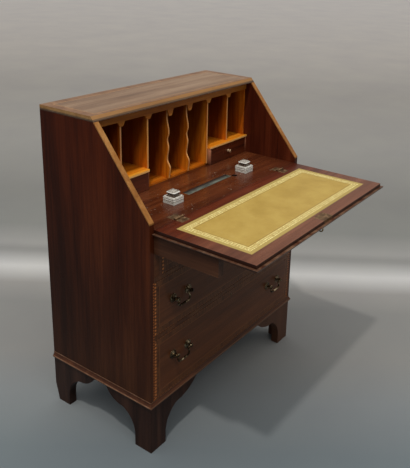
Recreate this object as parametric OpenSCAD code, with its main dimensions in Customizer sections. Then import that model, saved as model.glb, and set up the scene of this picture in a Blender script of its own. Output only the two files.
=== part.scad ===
// Slant-front desk: case with a lipped fall on lopers, three long drawers and a pigeonhole nest.
// X runs to the right, Y to the back and Z up. The floor is at Z = 0 and the fall is open.

/* [Case] */
// Overall width across the two sides
body_w = 774; // [740:1:810]
// Depth from the front face of the sides to the back
body_d = 417; // [405:1:440]
// Height from the floor to the top surface
body_h = 990; // [975:1:1005]
// Depth of the top board along its upper face
top_d = 208; // [200:1:216]
// Height of the shoulder where the slant starts
shoulder_h = 735; // [728:1:742]
// Thickness of each side panel
side_t = 17; // [15:0.5:20]
// Thickness of the top board
top_t = 15; // [14:0.5:18]
// Thickness of the base board
base_t = 16; // [12:0.5:18]
// Thickness of the writing bed
bed_t = 18; // [16:0.5:20]
// Thickness of the back boards
back_t = 9; // [6:0.5:12]
// Number of upright back boards
back_boards_n = 5; // [3:1:7]
// Gap between two back boards
back_gap = 0.4; // [0.3:0.1:1]
// Thickness of the light lipping on the slanted edges
slant_lip_t = 3; // [2:0.5:5]

/* [Plinth and feet] */
// Height of the bracket feet
foot_h = 157; // [145:1:165]
// Width of a foot at the floor
leg_w = 64; // [56:1:72]
// Thickness of the bracket boards
foot_t = 27; // [22:1:32]
// Length of the bracket along the front
front_wing = 215; // [205:1:235]
// Length of the bracket along the side
side_wing = 184; // [176:1:195]
// Height at which the inner edge of a foot starts to curve
leg_straight = 38; // [32:1:42]
// Radius of the inner curve of a foot
leg_curve_r = 80; // [76:1:90]
// Height of the cusp between the curve and the lobe
cusp_z = 113; // [108:1:116]
// How far the lobe bulges below its chord
lobe_bulge = 12; // [8:1:14]
// Height of the cut at the back of a rear foot
heel_h = 60; // [40:1:75]
// Depth of the cut at the back of a rear foot
heel_d = 14.5; // [8:0.5:18]
// Width of the glue blocks behind the brackets
glue_block_w = 32; // [24:1:34]
// How far the glue blocks stay above the floor
glue_block_lift = 114; // [110:1:120]
// Thickness of the bracket across the back of a rear foot
back_bracket_t = 14; // [10:1:18]
// Length of the bracket across the back of a rear foot
back_bracket_w = 92; // [80:1:110]
// Height of the free end of the bracket across the back
back_bracket_end = 22; // [16:1:28]
// Height of the plinth moulding
mould_h = 20; // [18:1:22]
// Projection of the plinth moulding
mould_out = 6.4; // [5:0.1:9]
// Height of the rounded nose of the plinth moulding
mould_nose_h = 9; // [7:0.5:11]
// How far the fillet over the nose stays behind it
mould_step = 2; // [1.5:0.1:2.5]
// Projection left at the top of the plinth moulding
mould_top = 0.8; // [0.6:0.1:1.5]
// Radius of the cove of the plinth moulding
mould_cove_r = 13; // [12:0.5:16]

/* [Long drawers] */
// Height of the opening for the upper drawer
upper_open_h = 126; // [120:1:132]
// Height of the opening for the middle drawer
middle_open_h = 170; // [165:1:175]
// Thickness of the rails between drawers
rail_t = 13; // [11:0.5:15]
// Depth of the rails from front to back
rail_d = 58; // [45:1:70]
// Thickness of the dustboards behind the rails
dustboard_t = 8; // [6:0.5:9]
// Thickness of the drawer fronts
front_t = 20; // [18:0.5:22]
// Gap around each drawer front
front_gap = 1; // [0.6:0.1:1.4]
// Gap under and beside a drawer box
run_gap = 0.3; // [0.2:0.05:0.5]
// Thickness of the drawer sides and backs
box_t = 9; // [8:0.5:11]
// Thickness of the drawer bases
drawer_base_t = 6; // [5:0.5:8]
// Height of a drawer base above the lower edge of the sides
drawer_base_lift = 7; // [5:0.5:9]
// How deep the base sits in its groove
groove_d = 4; // [3:0.5:5]
// How far the drawer sides stay below the top of the front
box_drop = 12; // [8:1:18]
// Space behind a closed long drawer
box_back_gap = 12; // [8:1:20]
// Number of dovetails at each front corner, upper drawer first
tails_n = [3, 4, 5];
// Length of the dovetails that join the sides to the front
tail_len = 13; // [10:0.5:15]
// Width of the narrow end of a dovetail as a share of their pitch
tail_share = 0.56; // [0.5:0.01:0.62]
// How much a dovetail widens on each edge
tail_flare = 2.5; // [1.5:0.5:3]

/* [Handles and drawer locks] */
// Distance from the inside of a case side to the middle of a handle
handle_inset = 113; // [105:1:130]
// Distance between the two posts of a handle
post_pitch = 67; // [62:1:72]
// Height of the handles over the middle of each front, upper drawer first
handle_rise = [0, 4, 14.5];
// Radius of a rose
rose_r = 14; // [12:0.5:16]
// Thickness of a rose
rose_t = 2.4; // [2:0.1:3]
// Radius of the ball at the end of a post
ball_r = 6; // [5.5:0.1:7]
// Radius of the neck of a post
neck_r = 3.2; // [2.8:0.1:4]
// Distance from a drawer front to the pivot of its bails
pivot_out = 14; // [12:0.5:17]
// Radius of the bail wire
bail_r = 2.4; // [2:0.1:2.8]
// How much thicker each next part of a bail is, from the pins to the grip
bail_growth = 0.1; // [0.05:0.05:0.15]
// Radius of the swelling in the middle of a bail
bail_swell_r = 3.6; // [3.2:0.1:4]
// Radius of the first bend of a bail
bail_neck_r = 5.5; // [5.2:0.1:6]
// Radius of the second bend of a bail
bail_bow_r = 9; // [8:0.5:10]
// Length of the straight part between the bends
bail_run = 4; // [3:0.5:5]
// Angle of the swan neck
bail_turn = 125; // [118:1:130]
// Radial clearance of the bail in its posts
bail_fit = 0.05; // [0.03:0.01:0.08]
// Radius of the screwed shank of a post
shank_r = 2.2; // [2:0.1:2.8]
// Clearance around the shanks and the key
hole_fit = 0.08; // [0.05:0.01:0.1]
// How far a shank stands out of its nut
shank_end = 1.5; // [1:0.5:3]
// Width across the flats of a nut
nut_w = 9; // [8:0.5:11]
// Thickness of a nut
nut_t = 3; // [2.5:0.5:4]
// Distance from the top of a drawer opening to the keyhole
keyhole_drop = 17; // [14:0.5:22]
// Depth of the keyhole of a long drawer
keyhole_d = 12; // [9:0.5:15]
// Thickness of the brass lining of a drawer keyhole
thread_t = 0.8; // [0.5:0.1:1.2]
// Depth of the brass lining of a drawer keyhole
thread_d = 4; // [3:0.5:6]
// Radius of the keyhole plate under the fall
keyplate_r = 10; // [9:0.5:12]
// Thickness of the keyhole plate under the fall
keyplate_t = 1.2; // [1:0.1:1.6]

/* [Lopers] */
// How far the lopers are pulled out
loper_out = 213; // [190:1:230]
// Space behind a loper that is pushed in
loper_back_gap = 23; // [15:1:35]
// Height of a loper
loper_h = 52; // [46:1:56]
// Thickness of a loper
loper_t = 22.4; // [20:0.1:24]
// Thickness of the partition beside a loper
partition_t = 9; // [8:0.5:11]
// Clearance around a loper
loper_gap = 0.3; // [0.2:0.05:0.5]
// Depth of the stile under a loper
stile_d = 30; // [24:1:40]
// Height of the bearer that a loper slides on
bearer_h = 18; // [14:1:22]
// Length of the facing on the end of a loper
loper_facing = 9; // [6:0.5:12]
// Radius of the stop peg
peg_r = 4; // [3:0.5:5]
// Distance from the back end of a loper to its stop peg
peg_inset = 20; // [14:1:26]

/* [Fall] */
// Thickness of the fall
fall_t = 18; // [16:0.5:20]
// Thickness of the lip around the fall
lip_t = 7.7; // [6:0.1:8]
// Width of the lip
lip_w = 8; // [6:0.5:9]
// Gap between the lip and the slanted edges when closed
lip_gap = 0.3; // [0.2:0.05:0.5]
// Gap between the fall and the sides
fall_side_gap = 0.8; // [0.5:0.1:1.2]
// Height of the hinge pins over the writing surface
pin_rise = 2; // [1.6:0.1:2.4]
// Gap between the fall and the bed
bed_gap = 0.6; // [0.4:0.1:1]
// Gap between the closed fall and the top board
fall_top_gap = 0.6; // [0.4:0.1:1]
// Wooden margin left around the leather
leather_margin = 41; // [36:1:48]
// Thickness of the leather
leather_t = 1.2; // [1:0.1:1.6]
// Distance from the inside of a case side to the middle of a hinge
hinge_inset = 102; // [90:1:115]
// Width of a hinge
hinge_w = 36; // [30:1:42]
// Length of one hinge leaf from the pin
hinge_leaf = 28; // [24:1:32]
// Thickness of a hinge leaf
leaf_t = 2; // [1.6:0.1:2.4]
// Radius of the hinge knuckles
knuckle_r = 3.4; // [3:0.1:3.8]
// Number of knuckles in a hinge
knuckles_n = 5; // [3:2:7]
// Gap between two knuckles
knuckle_gap = 0.3; // [0.2:0.05:0.4]
// Radius of a hinge pin
pin_r = 1.25; // [1:0.05:1.4]
// Radial clearance of a hinge pin
pin_fit = 0.05; // [0.03:0.01:0.08]

/* [Fall lock] */
// Width of the lock plate
lock_w = 52; // [48:1:60]
// Depth of the lock plate
lock_d = 34; // [32:1:38]
// Thickness of the lock plate
lock_plate_t = 1.6; // [1.2:0.1:2]
// Depth of the lock case under the surface
lock_case_h = 11; // [10.6:0.1:12]
// How far the lock case stays inside the plate
lock_case_inset = 3; // [2:0.5:4]
// Width of the bolt
bolt_w = 22; // [18:0.5:26]
// Length of the bolt
bolt_len = 16; // [12:0.5:17]
// Thickness of the bolt
bolt_t = 4; // [3:0.1:4.4]
// Depth of the bolt under the surface
bolt_down = 2.6; // [2.2:0.1:3]
// Travel of the bolt
bolt_throw = 9; // [8:0.5:10]
// Clearance around the bolt
bolt_gap = 0.3; // [0.2:0.05:0.5]
// Distance from the front edge to the key
key_inset = 22; // [20:0.5:24]
// Radius of the key shank
key_r = 2.4; // [2:0.1:2.8]
// Length of the key between the fall and its bow
key_neck = 13; // [10:0.5:18]
// Radius of the key bow along the middle of its wire
bow_r = 7.5; // [6.5:0.5:9]
// Radius of the wire of the key bow
bow_wire_r = 1.9; // [1.5:0.1:2.3]
// Reach of the key bit from the axis
bit_reach = 7; // [6:0.5:7.5]
// Width of the key bit
bit_w = 2.4; // [2:0.1:3]
// Height of the key bit
bit_h = 2.4; // [2:0.1:2.8]
// Thickness of the strike plate under the top board
strike_t = 1.2; // [1:0.1:1.6]
// Width of the strike plate
strike_w = 56; // [44:1:64]
// Depth of the strike plate
strike_d = 14; // [13:0.5:18]

/* [Pigeonhole nest] */
// Thickness of the nest boards
nest_t = 6; // [5:0.5:7]
// Distance from the inside of a case side to a full-height partition
partition_inset = 222; // [214:1:230]
// Distance from the inside of a case side to an upper upright
upright_inset = 108; // [102:1:114]
// Distance from the middle to the serpentine dividers
serpentine_x = 48; // [44:1:52]
// Height of the small drawer openings
small_open_h = 53; // [48:1:58]
// How far a shelf stands out over its small drawer
nosing_out = 3; // [2:0.5:4]
// How far the nest floor stays behind the front of the nest
floor_back = 5; // [3:0.5:8]
// Thickness of the valance
valance_t = 5; // [4:0.5:5]
// Depth of the valance between pendants
valance_h = 20; // [16:1:24]
// Depth of the pendants at the straight uprights
pendant_h = 34; // [30:1:38]
// Depth of the pendants at the serpentine dividers
serpentine_pendant_h = 42; // [36:1:46]
// Half width of a pendant where it joins the valance
pendant_half = 16; // [13:0.5:20]
// Half width of a pendant at its tip
pendant_tip = 5; // [3:0.5:7]
// Gap between the closed fall and the nest
nest_gap = 14; // [12:0.5:16]
// Height and setback of each turn of the serpentine edge, from the nest floor up
serpentine_turns = [[0, 0], [34, -4], [62, 8], [102, 3], [127, 8], [150, 2], [202, 10], [249, 10]];
// How far the small drawers stand in front of the nest
small_proud = 12; // [12:0.5:14]
// Thickness of the small drawer fronts
small_front_t = 11; // [9:0.5:11.5]
// Radius of the rounded corner of a small drawer front
small_corner_r = 8; // [6:0.5:10]
// Thickness of the small drawer sides
small_box_t = 5; // [4:0.5:6]
// Thickness of the small drawer bases
small_base_t = 3; // [2.5:0.5:4]
// Radius of a small knob
knob_r = 6.5; // [5:0.5:8]
// Projection of a small knob
knob_out = 14; // [12:0.5:17]

/* [Bed fittings] */
// Length of the pen tray
tray_l = 222; // [200:1:235]
// Width of the pen tray
tray_w = 26; // [24:1:32]
// Depth of the pen tray block
tray_h = 10; // [9:0.5:11]
// Distance from the hinge line to the middle of the pen tray
tray_back = 104; // [98:1:110]
// Width of the rim beside the groove of the pen tray
tray_rim = 2.5; // [2:0.5:4]
// Depth of the groove of the pen tray
tray_groove = 7; // [6:0.5:8]
// Radius of the round dip beside the pen tray
dip_r = 9.5; // [8:0.5:10.5]
// Depth of the round dip
dip_d = 5; // [4.5:0.5:7]
// Distance from the end of the pen tray to the middle of the dip
dip_out = 12; // [12:0.5:14]
// Distance from the middle line of the pen tray to the middle of the dip
dip_forward = 17; // [14:0.5:19]
// Distance from the inside of a case side to the middle of an inkwell
inkwell_inset = 186; // [182:1:190]
// Distance from the hinge line to an inkwell
inkwell_back = 91; // [85:1:97]
// Width of an inkwell
inkwell_w = 46; // [43:1:50]
// Height of the square body of an inkwell
inkwell_h = 25; // [23:1:28]
// Height of the sloping shoulder of an inkwell
inkwell_shoulder = 3; // [2:0.5:5]
// Width of the cut corners of an inkwell and its lid
inkwell_cut = 3; // [2:0.5:4]
// Radius of the ink bore
ink_r = 12; // [10:0.5:13]
// Thickness of glass under the ink
ink_floor = 7; // [5:0.5:9]
// Radius of the neck of an inkwell
ink_neck_r = 14.5; // [14:0.5:16]
// Height of the neck of an inkwell
ink_neck_h = 2; // [1.5:0.5:3]
// Depth of the sockets for the inkwells
socket_d = 3; // [2:0.5:4]
// Gap around an inkwell in its socket
socket_gap = 0.5; // [0.3:0.1:0.8]
// Width of an inkwell lid
lid_w = 31; // [30:1:35]
// Height of the lower band of a lid
lid_band = 3.5; // [3:0.5:5]
// Height of the bevelled top of a lid
lid_top = 4; // [3:0.5:6]
// Width of the bevel around the top of a lid
lid_bevel = 3; // [2:0.5:5]
// Gap between a lid and its neck
lid_gap = 0.3; // [0.2:0.05:0.5]
// How deep the stopper of a lid enters the bore
stopper_d = 5; // [4:0.5:7]
// Radial clearance of a stopper in the bore
stopper_fit = 0.5; // [0.3:0.1:0.8]

/* [Hidden] */
fine = 64;
eps = 0.01;
far = 2000;

// heights
plinth_top = foot_h + mould_h;
top_under = body_h - top_t;

// slant of the sides, and the hinge line of the fall
slant_rise = body_h - shoulder_h;
slant_run = body_d - top_d;
slant = atan(slant_rise / slant_run);
rebate = fall_t - lip_t;
pin_drop = (rebate - lip_gap + pin_rise) / cos(slant);
pin_z = shoulder_h - pin_drop;
bed_z = pin_z - pin_rise;
close_angle = 180 - slant;
bed_under = bed_z - bed_t;
fall_under = bed_z - fall_t;

// drawer openings, from the bed down; the lower one takes the height that is left
upper_z = min(bed_under, fall_under) - upper_open_h;
middle_z = upper_z - rail_t - middle_open_h;
lower_z = plinth_top;
lower_open_h = middle_z - rail_t - lower_z;

// the open fall
fall_len = (top_under - fall_top_gap - shoulder_h) / sin(slant) + pin_drop * sin(slant);
fall_reach = fall_len + lip_w;

// depths, with the open fall and the case centred on the origin together
y_front = (fall_reach - body_d) / 2;
y_back = y_front + body_d;
y_inside = y_back - back_t;
inner_x = body_w / 2 - side_t;
field_x = inner_x - fall_side_gap;
fall_back = y_front - bed_gap / 2;
hinge_x = inner_x - hinge_inset;
fall_front = y_front - fall_len;

// lopers
loper_len = body_d - back_t - loper_back_gap;
loper_x1 = inner_x - loper_gap;
loper_x0 = loper_x1 - loper_t;
partition_x1 = loper_x0 - loper_gap;
partition_x0 = partition_x1 - partition_t;
loper_z1 = fall_under - loper_gap;
loper_z0 = loper_z1 - loper_h;
loper_y0 = y_front - loper_out;
loper_y1 = loper_y0 + loper_len;
peg_y = loper_y1 - peg_inset;
peg_z = (loper_z0 + loper_z1) / 2;

// long drawers, upper first
drawer_z0 = [upper_z, middle_z, lower_z];
drawer_z1 = [upper_z + upper_open_h, middle_z + middle_open_h, lower_z + lower_open_h];
drawer_x = [partition_x0, inner_x, inner_x];
box_y1 = y_inside - box_back_gap;
pivot_y = y_front - pivot_out;
handle_x = inner_x - handle_inset;

// nest, set just behind the closed fall
nest_z0 = bed_z;
nest_floor_z = nest_z0 + nest_t;
nest_z1 = top_under;
nest_top_under = nest_z1 - nest_t;
nest_y = y_front + (nest_z1 - shoulder_h + (rebate - lip_gap) / cos(slant)) / tan(slant) + nest_gap;
shelf_z0 = nest_floor_z + small_open_h;
shelf_z1 = shelf_z0 + nest_t;
partition_x = inner_x - partition_inset;
upright_x = inner_x - upright_inset;
small_x0 = partition_x + nest_t / 2;
small_x1 = inner_x - nest_t;
small_y = nest_y - small_proud;
small_box_y1 = y_inside - box_back_gap / 2;

// fall lock
lock_y0 = fall_front;
key_y = fall_front + key_inset;
bolt_z1 = bed_z - bolt_down;
bolt_z0 = bolt_z1 - bolt_t;
case_z0 = bed_z - lock_case_h;
bit_z1 = bolt_z0 - bolt_gap;
bow_z = fall_under - keyplate_t - key_neck - bow_r;

// inkwells
inkwell_x = inner_x - inkwell_inset;
inkwell_y = y_front + inkwell_back;
inkwell_z0 = bed_z - socket_d;
shoulder_z = inkwell_z0 + inkwell_h;
neck_z = shoulder_z + inkwell_shoulder;
lid_z0 = neck_z + ink_neck_h + lid_gap;

// A block between two opposite corners.
module block(low, high) {
    translate(low) cube(high - low);
}

// A profile drawn in Y and Z, carried along X from x0 to x1.
module along_x(x0, x1) {
    translate([x0, 0, 0]) rotate([90, 0, 90]) linear_extrude(x1 - x0) children();
}

// A profile drawn in X and Z, carried along Y from y0 to y1.
module along_y(y0, y1) {
    translate([0, y1, 0]) rotate([90, 0, 0]) linear_extrude(y1 - y0) children();
}

// A round bar along X.
module bar_x(x0, x1, y, z, r) {
    translate([x0, y, z]) rotate([0, 90, 0]) cylinder(h = x1 - x0, r = r, $fn = fine);
}

// The same shape on both sides of the middle plane.
module both_sides() {
    children();
    mirror([1, 0, 0]) children();
}

// A moulding wrapped round the front and both ends of a block, mitred at the corners. Its profile is
// drawn in Y and Z: outwards from the face at 0, and inwards as far as wrap_depth.
wrap_depth = 3 * body_w;

module wrap(half_w, front, back, low, high) {
    reach = far;
    difference() {
        intersection() {
            along_x(-reach, reach) translate([front, 0]) mirror([1, 0]) children();
            along_y(-reach, back) translate([half_w, 0]) children();
            mirror([1, 0, 0]) along_y(-reach, back) translate([half_w, 0]) children();
        }
        block([-half_w, front, low - eps], [half_w, back + eps, high + eps]);
    }
}

// A shape of the open fall, turned shut about the hinge pins.
module turned_shut() {
    translate([0, y_front, pin_z]) rotate([-close_angle, 0, 0]) translate([0, -y_front, -pin_z]) children();
}

// Point on the slanted plane, or a distance in behind it, at a height.
function slant_y(z, inward) = y_front + (z - shoulder_h + inward / cos(slant)) / tan(slant);

// Case

module side_panel(x0) {
    along_x(x0, x0 + side_t) polygon([
        [y_front, foot_h],
        [y_front, shoulder_h - slant_lip_t / cos(slant)],
        [slant_y(top_under, slant_lip_t), top_under],
        [y_back, top_under],
        [y_back, foot_h]
    ]);
}

module side_left() color("#4a2018") side_panel(-body_w / 2);

module side_right() color("#4a2018") side_panel(inner_x);

module slant_lippings() color("#d99a4e") both_sides() along_x(inner_x, body_w / 2) polygon([
    [y_front, shoulder_h],
    [y_front, shoulder_h - slant_lip_t / cos(slant)],
    [slant_y(top_under, slant_lip_t), top_under],
    [slant_y(top_under, 0), top_under]
]);

// The space that the bolt takes when the fall is shut and locked.
module bolt_pocket() {
    turned_shut() block(
        [-bolt_w / 2 - bolt_gap, fall_front - bolt_throw - bolt_gap, bolt_z0 - bolt_gap],
        [bolt_w / 2 + bolt_gap, fall_front + bolt_gap, bolt_z1 + bolt_gap]
    );
}

strike_y0 = slant_y(top_under, 0) + strike_t;
strike_y1 = strike_y0 + strike_d;

module top_board() color("#5c2b1c") difference() {
    along_x(-body_w / 2, body_w / 2) polygon([
        [slant_y(body_h, 0), body_h],
        [slant_y(top_under, 0), top_under],
        [y_back, top_under],
        [y_back, body_h]
    ]);
    block([-strike_w / 2, strike_y0, top_under - eps], [strike_w / 2, strike_y1, top_under + strike_t]);
    bolt_pocket();
}

module strike_plate() color("#c9a14a") difference() {
    block([-strike_w / 2, strike_y0, top_under], [strike_w / 2, strike_y1, top_under + strike_t]);
    bolt_pocket();
}

back_board_w = (2 * inner_x - (back_boards_n - 1) * back_gap) / back_boards_n;

module back_boards() color("#5a3a24") for (i = [0 : back_boards_n - 1]) {
    x0 = -inner_x + i * (back_board_w + back_gap);
    block([x0, y_inside, foot_h], [x0 + back_board_w, y_back, top_under]);
}

module base_board() color("#5a3a24")
    block([-inner_x, y_front, plinth_top - base_t], [inner_x, y_inside, plinth_top]);

module drawer_rails() color("#4a2018") for (z = [middle_z, upper_z])
    block([-inner_x, y_front, z - rail_t], [inner_x, y_front + rail_d, z]);

module dustboards() color("#6b4a2e") for (z = [middle_z, upper_z])
    block([-inner_x, y_front + rail_d, z - dustboard_t], [inner_x, y_inside, z]);

// Hinge

// Recess for one leaf and the knuckles. Side is 1 towards the back and -1 towards the front.
module hinge_recess(side) {
    y0 = min(y_front, y_front + side * hinge_leaf);
    translate([hinge_x - hinge_w / 2, y0, bed_z - leaf_t]) cube([hinge_w, hinge_leaf, leaf_t + eps]);
    bar_x(hinge_x - hinge_w / 2, hinge_x + hinge_w / 2, y_front, pin_z, knuckle_r + knuckle_gap);
}

knuckle_pitch = hinge_w / knuckles_n;

// One leaf with every second knuckle, the first of them at the given place.
module hinge_leaf_plate(side, first) {
    leaf_y0 = knuckle_r + knuckle_gap;
    leaf_y1 = hinge_leaf;
    difference() {
        union() {
            translate([hinge_x - hinge_w / 2, side > 0 ? y_front + leaf_y0 : y_front - leaf_y1, bed_z - leaf_t])
                cube([hinge_w, leaf_y1 - leaf_y0, leaf_t]);
            for (i = [first : 2 : knuckles_n - 1]) {
                x0 = hinge_x - hinge_w / 2 + i * knuckle_pitch + knuckle_gap / 2;
                x1 = x0 + knuckle_pitch - knuckle_gap;
                bar_x(x0, x1, y_front, pin_z, knuckle_r);
                translate([x0, side > 0 ? y_front : y_front - leaf_y0 - eps, bed_z - leaf_t])
                    cube([x1 - x0, leaf_y0 + eps, leaf_t]);
            }
        }
        bar_x(hinge_x - hinge_w, hinge_x + hinge_w, y_front, pin_z, pin_r + (first == 0 ? pin_fit : 0));
    }
}

module bed_hinge_leaves() color("#c9a14a") both_sides() hinge_leaf_plate(1, 0);

module fall_hinge_leaves() color("#c9a14a") both_sides() {
    hinge_leaf_plate(-1, 1);
    bar_x(hinge_x - hinge_w / 2, hinge_x + hinge_w / 2, y_front, pin_z, pin_r);
}

// Bed and what lies on it

tray_y = y_front + tray_back;

module writing_bed() color("#5c2b1c") difference() {
    block([-inner_x, y_front + bed_gap / 2, bed_under], [inner_x, y_inside, bed_z]);
    both_sides() hinge_recess(1);
    block([-tray_l / 2, tray_y - tray_w / 2, bed_z - tray_h], [tray_l / 2, tray_y + tray_w / 2, bed_z + eps]);
    both_sides() translate([inkwell_x, inkwell_y, inkwell_z0]) linear_extrude(socket_d + eps)
        square(inkwell_w + 2 * socket_gap, center = true);
    translate([tray_l / 2 + dip_out, tray_y - dip_forward, bed_z - dip_d])
        cylinder(h = dip_d + eps, r = dip_r, $fn = fine);
}

tray_cut_w = tray_w / 2 - tray_rim;
tray_cut_r = (tray_cut_w * tray_cut_w + tray_groove * tray_groove) / (2 * tray_groove);

module pen_tray() color("#7f8a78") difference() {
    block([-tray_l / 2, tray_y - tray_w / 2, bed_z - tray_h], [tray_l / 2, tray_y + tray_w / 2, bed_z]);
    bar_x(-tray_l / 2 + tray_rim, tray_l / 2 - tray_rim, tray_y, bed_z + tray_cut_r - tray_groove, tray_cut_r);
}

// A square with cut corners.
module cut_square(w, cut) {
    a = w / 2;
    b = a - cut;
    polygon([[-a, -b], [-b, -a], [b, -a], [a, -b], [a, b], [b, a], [-b, a], [-a, b]]);
}

module inkwell(x) {
    translate([x, inkwell_y, 0]) difference() {
        union() {
            translate([0, 0, inkwell_z0]) linear_extrude(inkwell_h) cut_square(inkwell_w, inkwell_cut);
            hull() {
                translate([0, 0, shoulder_z]) linear_extrude(eps) cut_square(inkwell_w, inkwell_cut);
                translate([0, 0, neck_z]) linear_extrude(eps) cut_square(2 * ink_neck_r, ink_neck_r / 2);
            }
            translate([0, 0, neck_z]) cylinder(h = ink_neck_h, r = ink_neck_r, $fn = fine);
        }
        translate([0, 0, inkwell_z0 + ink_floor]) cylinder(h = far, r = ink_r, $fn = fine);
    }
}

module inkwell_left() color("#dfe6e4") inkwell(-inkwell_x);

module inkwell_right() color("#dfe6e4") inkwell(inkwell_x);

module inkwell_lid(x) {
    translate([x, inkwell_y, lid_z0]) {
        linear_extrude(lid_band) cut_square(lid_w, inkwell_cut);
        hull() {
            translate([0, 0, lid_band - eps]) linear_extrude(eps) cut_square(lid_w, inkwell_cut);
            translate([0, 0, lid_band + lid_top - eps]) linear_extrude(eps) cut_square(lid_w - 2 * lid_bevel, inkwell_cut);
        }
        translate([0, 0, -stopper_d]) cylinder(h = stopper_d + eps, r = ink_r - stopper_fit, $fn = fine);
    }
}

module inkwell_lid_left() color("#eef2f0") inkwell_lid(-inkwell_x);

module inkwell_lid_right() color("#eef2f0") inkwell_lid(inkwell_x);

// Loper housings

module loper_partitions() color("#5a3a24") both_sides() difference() {
    block([partition_x0, y_front, upper_z], [partition_x1, y_inside, bed_under]);
    for (y = [peg_y, peg_y + loper_out])
        bar_x(partition_x0 - eps, partition_x1 + eps, y, peg_z, peg_r + loper_gap);
    block([partition_x0 - eps, peg_y, peg_z - peg_r - loper_gap],
        [partition_x1 + eps, peg_y + loper_out, peg_z + peg_r + loper_gap]);
}

module loper_bearers() color("#4a2018") both_sides() {
    top = loper_z0 - loper_gap;
    along_x(partition_x1, inner_x) polygon([
        [y_front, upper_z],
        [y_front, top],
        [y_inside, top],
        [y_inside, top - bearer_h],
        [y_front + stile_d, top - bearer_h],
        [y_front + stile_d, upper_z]
    ]);
}

module loper() {
    block([loper_x0, loper_y0 + loper_facing, loper_z0], [loper_x1, loper_y1, loper_z1]);
    block([loper_x0, loper_y0, loper_z0], [loper_x1, loper_y0 + loper_facing, loper_z1]);
    bar_x(partition_x0 + loper_gap, loper_x0, peg_y, peg_z, peg_r);
}

module loper_left() color("#4f281c") mirror([1, 0, 0]) loper();

module loper_right() color("#4f281c") loper();

// Plinth

cove_a = [mould_out - mould_step, mould_nose_h];
cove_b = [mould_top, mould_h];
cove_half = norm(cove_b - cove_a) / 2;
cove_dir = (cove_b - cove_a) / (2 * cove_half);
cove_centre = (cove_a + cove_b) / 2
    + [cove_dir.y, -cove_dir.x] * sqrt(mould_cove_r * mould_cove_r - cove_half * cove_half);

nose_r = mould_nose_h / 2;

// Rounded nose, small fillet and cove, from the bottom up.
module plinth_moulding() color("#6b3524")
    wrap(body_w / 2, y_front, y_back, foot_h, foot_h + mould_h) translate([0, foot_h]) {
        difference() {
            polygon([
                [-wrap_depth, 0],
                [mould_out - nose_r, 0],
                [mould_out - nose_r, nose_r],
                [mould_out - mould_step, nose_r],
                [mould_out - mould_step, mould_h],
                [-wrap_depth, mould_h]
            ]);
            translate(cove_centre) circle(r = mould_cove_r, $fn = fine);
        }
        translate([mould_out - nose_r, nose_r]) circle(r = nose_r, $fn = fine);
    }

leg_angle = asin((cusp_z - leg_straight) / leg_curve_r);
cusp_x = leg_w + leg_curve_r * (1 - cos(leg_angle));

// Outline of a bracket, from the corner of the foot outwards.
module bracket_outline(wing) {
    run = wing - cusp_x;
    rise = foot_h - cusp_z;
    chord = sqrt(run * run + rise * rise);
    lobe_r = (chord * chord / 4 + lobe_bulge * lobe_bulge) / (2 * lobe_bulge);
    up = [-rise, run] / chord;
    middle = [cusp_x + run / 2, cusp_z + rise / 2] + up * (lobe_r - lobe_bulge);
    difference() {
        polygon([[0, 0], [leg_w, 0], [leg_w, leg_straight], [cusp_x, cusp_z], [wing, foot_h], [0, foot_h]]);
        translate([leg_w + leg_curve_r, leg_straight]) circle(r = leg_curve_r, $fn = fine);
    }
    intersection() {
        translate(middle) circle(r = lobe_r, $fn = fine);
        polygon([[cusp_x, cusp_z], [cusp_x, 0], [wing, 0], [wing, foot_h]]);
    }
}

// Front and side brackets of one foot, mitred at the corner, with the glue block behind them.
module foot_corner(wing_x, wing_y) {
    corner = [body_w / 2, y_front];
    intersection() {
        along_y(y_front, y_front + foot_t) translate([corner.x, 0]) mirror([1, 0]) bracket_outline(wing_x);
        linear_extrude(far) polygon([
            corner, corner + [-far, 0], corner + [-far, foot_t], corner + [-foot_t, foot_t]
        ]);
    }
    intersection() {
        along_x(corner.x - foot_t, corner.x) translate([y_front, 0]) bracket_outline(wing_y);
        linear_extrude(far) polygon([
            corner, corner + [-foot_t, foot_t], corner + [-foot_t, far], corner + [0, far]
        ]);
    }
    inner = corner + [-foot_t, foot_t];
    block([inner.x - glue_block_w, inner.y, glue_block_lift], [inner.x, inner.y + glue_block_w, foot_h]);
}

module front_bracket_feet() color("#43201a") both_sides() foot_corner(front_wing, side_wing);

module rear_bracket_feet() color("#43201a") both_sides() {
    inner = body_w / 2 - foot_t;
    bracket_y1 = y_back - heel_d;
    difference() {
        along_x(inner, body_w / 2) translate([y_back, 0]) mirror([1, 0]) bracket_outline(side_wing);
        along_x(inner - eps, body_w / 2 + eps) polygon([
            [y_back - heel_d, -eps], [y_back + eps, -eps], [y_back + eps, heel_h]
        ]);
    }
    along_y(bracket_y1 - back_bracket_t, bracket_y1) polygon([
        [inner, glue_block_lift],
        [inner, foot_h],
        [inner - back_bracket_w, foot_h],
        [inner - back_bracket_w, foot_h - back_bracket_end],
        [inner - glue_block_w, glue_block_lift]
    ]);
    block([inner - glue_block_w, bracket_y1 - back_bracket_t - glue_block_w, glue_block_lift],
        [inner, bracket_y1 - back_bracket_t, foot_h]);
}

// Pigeonhole nest

module nest_case() color("#c8873c") {
    both_sides() block([small_x1, nest_y, nest_floor_z], [inner_x, y_inside, nest_top_under]);
    block([-inner_x, nest_y, nest_top_under], [inner_x, y_inside, nest_z1]);
    block([-inner_x, nest_y + floor_back, nest_z0], [inner_x, y_inside, nest_floor_z]);
}

module nest_partitions() color("#c8873c") both_sides() {
    block([partition_x - nest_t / 2, nest_y, nest_floor_z], [partition_x + nest_t / 2, y_inside, nest_top_under]);
    block([upright_x - nest_t / 2, nest_y, shelf_z1], [upright_x + nest_t / 2, y_inside, nest_top_under]);
}

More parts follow.
